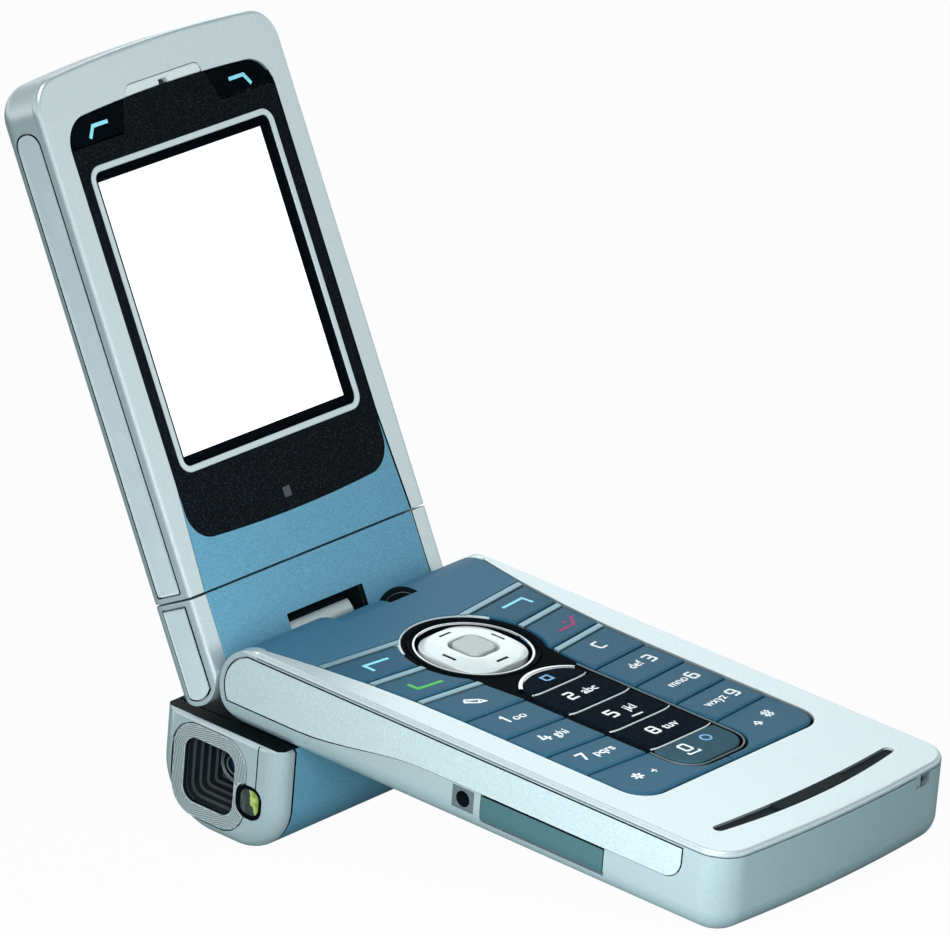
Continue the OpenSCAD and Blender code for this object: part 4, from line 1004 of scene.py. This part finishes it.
class PHONE_OT_camera_unit(Operator):
    """Finishes the camera barrel, its end caps, the lens and the flash"""
    bl_idname = "phone.camera_unit"
    bl_label = "Camera unit"

    def execute(self, context):
        edge = context.scene.phone_sizes.edge
        barrel_gap = 1.6 * context.scene.phone_sizes.seam
        # The barrel takes a lighter copy of the blue paint, as painted light
        barrel = inlay("camera_housing", "barrel", "blue_grey_paint", edge, BASE, barrel_gap, (1, 0, 0))
        # Painted shade on the barrel's ends, in the seams to the caps, and painted shadow on its top under the
        # hinge
        paint_shade(barrel, lambda face: abs(face.normal.x) > ALONG or face.normal @ KEY_UP > ALONG)
        for node in ("lens_end_cap", "far_end_cap"):
            self.end_cap(node, edge)
        self.plate_rings(inlay("lens_plate", "plate", "silver_paint", edge / 2, BASE, edge))
        self.paint_tread_highlights(shell("lens_baffle", "baffle", edge / 2))
        paint_node("camera_lens", "lens")
        self.flash(edge)
        self.lens_rings()
        return {"FINISHED"}

    def end_cap(self, node, edge):
        """Silver cap with painted shadow on its top, and painted shade in the groove across its outer face."""
        cap = shell(node, "silver", edge)
        level = 0.97
        # Painted shadow on the top, under the lid foot and the base; then painted shade in the groove
        paint_shade(cap, lambda face: face.normal @ KEY_UP > level)
        outer = max(abs(v.co.x) for v in cap.data.vertices)
        along = BASE.to_3x3().col[1]
        groove = 0.45 * MM
        paint_shade(cap, lambda face: outer - abs(face.center.x) < groove and abs(face.normal @ along) > ALONG)

    def plate_rings(self, plate):
        """Fine turned ridges that follow the lens window, as far as the plate reaches."""
        surface = BVHTree.FromPolygons(
            [v.co for v in plate.data.vertices], [face.vertices for face in plate.data.polygons])
        face_x = min(v.co.x for v in plate.data.vertices)
        low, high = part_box("lens_baffle")
        middle, half = ((low + high) / 2).yz, (high - low).yz / 2
        corner, pitch, width = 2.4 * MM, 0.3 * MM, 0.15 * MM
        margin, sunk = 0.1 * MM, 0.03 * MM

        def on_plate(point):
            hit = surface.ray_cast(Vector((face_x - MM, *point)), ACROSS, 2 * MM)[0]
            return hit is not None and hit.x - face_x < margin

        parts = []
        for i in range(-6, 8):
            inner, ridge, outer = (
                rounded(middle, half, corner, i * pitch + shift) for shift in (-margin, 0, margin))
            kept = [all(on_plate(p) for p in points) for points in zip(inner, ridge, outer)]
            for run in runs(ridge, kept):
                points = [(face_x + sunk, *p) for p in run]
                closed = len(run) == len(kept)
                parts.append(flat_line("lens_plate_rings", points, width, width, Matrix(), closed))
        dress(join(parts, "lens_plate_rings"), "nickel", "camera_unit")

    def paint_tread_highlights(self, baffle):
        """Painted highlight: a paler grey on the narrow treads of the light trap, which face the window."""
        baffle.data.materials.append(MATERIALS["grey"])
        low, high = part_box("lens_baffle")
        rim = 0.2 * MM
        for face in baffle.data.polygons:
            inside = low.x + rim < face.center.x < high.x - rim
            face.material_index = int(face.normal.x < -ALONG and inside)

    def flash(self, edge):
        """Flash window with its dark frame."""
        obj = node_copy("flash_lens", "flash_window")
        obj.data.materials.append(MATERIALS["black"])
        obj.data.materials.append(MATERIALS["flash"])
        border, step, depth = 0.5 * MM, 0.1 * MM, 0.12 * MM
        edit(obj, lambda face: face.normal.x < -ALONG)
        bpy.ops.mesh.inset(thickness=border, depth=0)
        bpy.ops.mesh.inset(thickness=step, depth=-depth)
        obj.active_material_index = 1
        bpy.ops.object.material_slot_assign()
        done()
        soften(obj, edge / 2)
        dress(obj, None, "camera_unit", ["flash_lens"])

    def lens_rings(self):
        """Turned rings of the lens barrel, each a little narrower at its outer end."""
        low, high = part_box("camera_lens")
        centre = (low + high) / 2
        r = (high.y - low.y) / 2
        reach, taper, wall = 0.3 * MM, 0.94, 0.22 * MM
        # Radius as a share of the lens's, depth behind its front in millimetres, and finish
        rings = ((1.36, 0.45, "nickel"), (1.12, 0.3, "steel"), (0.92, 0.12, "dark"), (0.62, 0.0, "nickel"))
        for i, (share, depth, finish) in enumerate(rings):
            at = (low.x + depth * MM, centre.y, centre.z)
            obj = start(
                f"lens_ring_{i}", bpy.ops.mesh.primitive_circle_add, vertices=48, radius=r * share,
                location=at, rotation=(0, math.radians(90), 0))
            edit(obj)
            bpy.ops.mesh.select_mode(type="EDGE")
            bpy.ops.mesh.extrude_edges_move(TRANSFORM_OT_translate={"value": (-reach, 0, 0)})
            bpy.ops.transform.resize(value=(1, taper, taper), center_override=at)
            done()
            modify(obj, "SOLIDIFY", thickness=wall, offset=-1)
            soften(obj, 0.05 * MM)
            dress(obj, finish, "camera_unit")


class PHONE_OT_hinges(Operator):
    """Finishes the hinge bracket, the pins and the swivel post"""
    bl_idname = "phone.hinges"
    bl_label = "Hinges"

    def execute(self, context):
        obj = shell("hinge_bracket", "silver", context.scene.phone_sizes.edge)
        # Knuckle A takes the darker copy of the blue paint, as painted shade; knuckle B stays silver
        obj.data.materials.append(MATERIALS["blue"])
        inverse = BASE.inverted()
        divide = (inverse @ Vector(JOINTS["lid_hinge"]["pos_m"])).y / 2
        for face in obj.data.polygons:
            face.material_index = int((inverse @ face.center).y < divide)
        # Painted shadow on the upper faces of the lid's knuckle, in the slot of the foot
        upward = 0.5
        paint_shade(obj, lambda face: (inverse @ face.center).y > divide and face.normal @ LID_UP > upward)
        for node in ("base_hinge_pin", "lid_hinge_pin", "swivel_post"):
            paint_node(node, "steel")
        return {"FINISHED"}


class PHONE_OT_lid(Operator):
    """Finishes the lid, its foot, its trims and the window on its back"""
    bl_idname = "phone.lid"
    bl_label = "Lid"

    def execute(self, context):
        sizes = context.scene.phone_sizes
        edge = sizes.edge
        # Painted shade in the trims' recesses, on the walls beside the blue panels and in the hinge well of the
        # foot
        for node in ("lid_back_cover", "lid_front_frame"):
            obj = shell(node, "silver", edge)
            paint_recess_shade(obj, "lid_side_trims", LID)
            self.paint_opening_shade(obj)
        # The foot and chin panels take the lighter copy of the blue paint, as painted light
        panel = ("light_blue", "blue_grey_paint", edge, LID, sizes.seam / 2, (1, 0, 0))
        inlay("chin_panel", *panel)
        foot = shell("swivel_base_shell", "silver", edge)
        for obj in (foot, inlay("swivel_base_panel", *panel)):
            self.paint_opening_shade(obj)
            paint_well_shade(obj, LID, LID_WELL)
            paint_recess_shade(obj, "swivel_base_trims", LID)
        for node in ("swivel_base_trims", "lid_side_trims"):
            inlay(node, "trim", "pearl_plastic", edge / 2, LID, sizes.seam, dish=0.16 * MM)
        shell("earpiece_cap", "pearl", 2 * edge)
        shell("cover_window", "glass", edge)
        return {"FINISHED"}

    def paint_opening_shade(self, obj):
        """Painted shade on the walls beside the blue panels, which face across the phone well inside its sides."""
        inside = max(abs(v.co.x) for v in obj.data.vertices) - 1.5 * MM
        paint_shade(obj, lambda face: abs(face.normal.x) > ALONG and abs(face.center.x) < inside)


class PHONE_OT_display(Operator):
    """Shapes the display window, the lit screen, its ring, the lid keys and the light sensor"""
    bl_idname = "phone.display"
    bl_label = "Display"

    def execute(self, context):
        edge = context.scene.phone_sizes.edge
        shell("display_window", "glass", edge)
        shell("display_ring", "silver", edge)
        self.panel(edge)
        self.screen()
        self.sensor()
        for node, side in {"lid_key_left": -1, "lid_key_right": 1}.items():
            key = shell(node, "black", edge)
            at = Vector((side * 15.1, 77.5, local_box(node, LID)[1].z + 1)) * MM
            points = [(side * -2.2, 0.75), (side * 0.9, 0.75), (side * 2.0, -0.85)]
            stroke(node + "_stroke", [points], 0.55, at, 0, key, "cyan", LID, node)
        return {"FINISHED"}

    def panel(self, edge):
        """Black tray of the display, with its floor below the ring."""
        obj = node_copy("display_panel", "display_tray")
        normal = LID.to_3x3().col[2]
        edit(obj, lambda face: face.normal @ normal > STRAIGHT)
        bpy.ops.mesh.inset(thickness=0.12 * MM, depth=0)
        bpy.ops.mesh.extrude_region_move(TRANSFORM_OT_translate={"value": -normal * SCREEN_SINK})
        done()
        soften(obj, edge / 4)
        dress(obj, "black", "lid", ["display_panel"])

    def screen(self):
        """Lit area inside the black border of the display."""
        low, high = local_box("display_panel", LID)
        border = Vector((1.2, 1.4, 0))
        size = high - low - 2 * border
        centre = (low + high) / 2
        at = (centre.x * MM, centre.y * MM, (high.z + 0.01) * MM - SCREEN_SINK)
        obj = start("lit_screen", bpy.ops.mesh.primitive_plane_add, size=1, location=at)
        edit(obj)
        bpy.ops.transform.resize(value=(size.x * MM, size.y * MM, 1))
        bpy.ops.mesh.subdivide(number_cuts=3)
        bpy.ops.mesh.extrude_region_move(TRANSFORM_OT_translate={"value": (0, 0, 0.04 * MM)})
        bpy.ops.mesh.select_all(action="SELECT")
        bpy.ops.mesh.normals_make_consistent(inside=False)
        done()
        soften(obj, 0.015 * MM)
        dress(set_down(obj, LID), "screen", "lid")

    def sensor(self):
        """Small light sensor below the display."""
        top = local_box("display_window", LID)[1].z
        at = Vector((-0.6, 19.8, top)) * MM
        obj = start("light_sensor", bpy.ops.mesh.primitive_plane_add, size=1.5 * MM, location=at)
        edit(obj)
        bpy.ops.mesh.inset(thickness=0.15 * MM, depth=0.02 * MM)
        done()
        modify(obj, "SOLIDIFY", thickness=0.2 * MM, offset=-1)
        dress(set_down(obj, LID), "grey", "lid")


class PHONE_OT_stage(Operator):
    """Adds the white floor, the lamps and the camera"""
    bl_idname = "phone.stage"
    bl_label = "Stage"

    def execute(self, context):
        stage = context.scene.phone_stage
        self.floor()
        self.world(stage.ambient)
        base_side = Vector((-0.025, -0.05, 0.02))
        keypad = BASE @ Vector((0, -0.03, 0.02))
        self.lamp("key_lamp", stage.key_lamp, (-0.14, -0.09, 0.065), base_side, 0.12, mirrored=False)
        self.lamp("fill_lamp", stage.fill_lamp, (-0.2, -0.15, 0.95), keypad, 0.5)
        self.lamp("back_lamp", stage.back_lamp, (0.65, 0.5, 0.5), keypad, 0.5)
        self.camera(stage)
        context.scene.view_settings.view_transform = "Standard"
        return {"FINISHED"}

    def floor(self):
        """Grey-blue floor that the eye sees as white."""
        obj = start("white_floor", bpy.ops.mesh.primitive_plane_add, size=6)
        mat = bpy.data.materials.new("white_paper_floor")
        mat.use_nodes = True
        tree = mat.node_tree
        tree.nodes.clear()
        diffuse = add(tree, "ShaderNodeBsdfDiffuse", color=(0.2, 0.29, 0.31, 1)).outputs["BSDF"]
        light = add(tree, "ShaderNodeEmission", color=(1, 1, 1, 1), strength=1.0).outputs["Emission"]
        white = self.seen_by_eye(tree, 0.97, 0.06)
        mix = add(tree, "ShaderNodeMixShader", [(0, white), (1, diffuse), (2, light)])
        add(tree, "ShaderNodeOutputMaterial", [("Surface", mix.outputs["Shader"])])
        obj.data.materials.append(mat)

    def seen_by_eye(self, tree, direct, mirrored):
        """Share of white for rays that the eye sees straight or through glass, and for mirrored rays."""
        rays = add(tree, "ShaderNodeLightPath").outputs
        through = add(tree, "ShaderNodeMath", [
            (0, rays["Is Camera Ray"]), (1, rays["Is Transmission Ray"])], operation="MAXIMUM").outputs[0]
        straight = add(tree, "ShaderNodeMath", [(0, through), (1, direct)], operation="MULTIPLY").outputs[0]
        glossy = add(tree, "ShaderNodeMath", [
            (0, rays["Is Glossy Ray"]), (1, mirrored)], operation="MULTIPLY").outputs[0]
        return add(tree, "ShaderNodeMath", [(0, straight), (1, glossy)], operation="MAXIMUM").outputs[0]

    def world(self, ambient):
        """Soft light all round, and a studio to see: white at the horizon, grey overhead."""
        world = bpy.data.worlds.new("white_studio")
        bpy.context.scene.world = world
        world.use_nodes = True
        tree = world.node_tree
        tree.nodes.clear()
        soft = add(tree, "ShaderNodeBackground", color=(0.84, 0.98, 1, 1), strength=ambient)
        way = add(tree, "ShaderNodeTexCoord").outputs["Generated"]
        height = add(tree, "ShaderNodeSeparateXYZ", [("Vector", way)]).outputs["Z"]
        ramp = add(tree, "ShaderNodeValToRGB", [("Fac", height)])
        set_ramp(ramp, (0.1, (1, 1, 1, 1)), (0.6, (0.3, 0.33, 0.34, 1)))
        studio = add(tree, "ShaderNodeBackground", [("Color", ramp.outputs["Color"])], strength=1.0)
        seen = self.seen_by_eye(tree, 1, 1)
        mix = add(tree, "ShaderNodeMixShader", [
            (0, seen), (1, soft.outputs["Background"]), (2, studio.outputs["Background"])])
        add(tree, "ShaderNodeOutputWorld", [("Surface", mix.outputs["Shader"])])

    def lamp(self, name, watts, at, target, size, mirrored=True):
        """Square soft lamp that the camera doesn't see, and that paint mirrors or doesn't."""
        lamp = bpy.data.lights.new(name, "AREA")
        lamp.energy = watts
        lamp.shape = "SQUARE"
        lamp.size = size
        obj = bpy.data.objects.new(name, lamp)
        bpy.context.scene.collection.objects.link(obj)
        obj.location = at
        obj.visible_camera = False
        obj.visible_glossy = mirrored
        obj.rotation_euler = (target - Vector(at)).to_track_quat("-Z", "Y").to_euler()

    def camera(self, stage):
        """Camera of the photograph, aimed so that the picture's middle is on its axis."""
        back = CAMERA_BACK
        right = (CAMERA_RIGHT - back * CAMERA_RIGHT.dot(back)).normalized()
        up = back.cross(right)
        focal_px = stage.lens / SENSOR_WIDTH * PHOTO_SIZE[0]
        shift = (Vector(PHOTO_SIZE) / 2 - KEYPAD_PIXEL) / focal_px
        forward = (-back + right * shift.x - up * shift.y).normalized()
        side = (right - forward * right.dot(forward)).normalized()
        turn = Matrix((side, side.cross(forward), -forward)).transposed().to_4x4()
        data = bpy.data.cameras.new("camera")
        data.lens = stage.lens
        data.sensor_width = SENSOR_WIDTH
        data.clip_end = 20
        obj = bpy.data.objects.new("camera", data)
        bpy.context.scene.collection.objects.link(obj)
        obj.matrix_world = BASE @ Matrix.Translation(KEYPAD_MIDDLE + back * stage.distance) @ turn
        bpy.context.scene.camera = obj


OPERATORS = (
    PHONE_OT_finishes, PHONE_OT_base_housings, PHONE_OT_base_fittings, PHONE_OT_side_keys,
    PHONE_OT_centre_keys, PHONE_OT_navigation, PHONE_OT_legends, PHONE_OT_camera_unit, PHONE_OT_hinges,
    PHONE_OT_lid, PHONE_OT_display, PHONE_OT_stage,
)


class PHONE_PT_parts(Panel):
    """Lists the steps that dress the phone"""
    bl_idname = "PHONE_PT_parts"
    bl_label = "Folding camera phone"
    bl_space_type = "VIEW_3D"
    bl_region_type = "UI"
    bl_category = "Phone"

    def draw(self, context):
        for group in (context.scene.phone_colours, context.scene.phone_sizes, context.scene.phone_stage):
            for name in group.__annotations__:
                self.layout.prop(group, name)
        for operator in OPERATORS:
            self.layout.operator(operator.bl_idname)


CLASSES = (PhoneColours, PhoneSizes, PhoneStage, *OPERATORS, PHONE_PT_parts)


def register():
    for cls in CLASSES:
        bpy.utils.register_class(cls)
    bpy.types.Scene.phone_colours = PointerProperty(type=PhoneColours)
    bpy.types.Scene.phone_sizes = PointerProperty(type=PhoneSizes)
    bpy.types.Scene.phone_stage = PointerProperty(type=PhoneStage)


def unregister():
    del bpy.types.Scene.phone_stage
    del bpy.types.Scene.phone_sizes
    del bpy.types.Scene.phone_colours
    for cls in reversed(CLASSES):
        bpy.utils.unregister_class(cls)


def main():
    register()
    for operator in OPERATORS:
        getattr(bpy.ops.phone, operator.bl_idname.split(".")[1])()


if __name__ == "__main__":
    main()
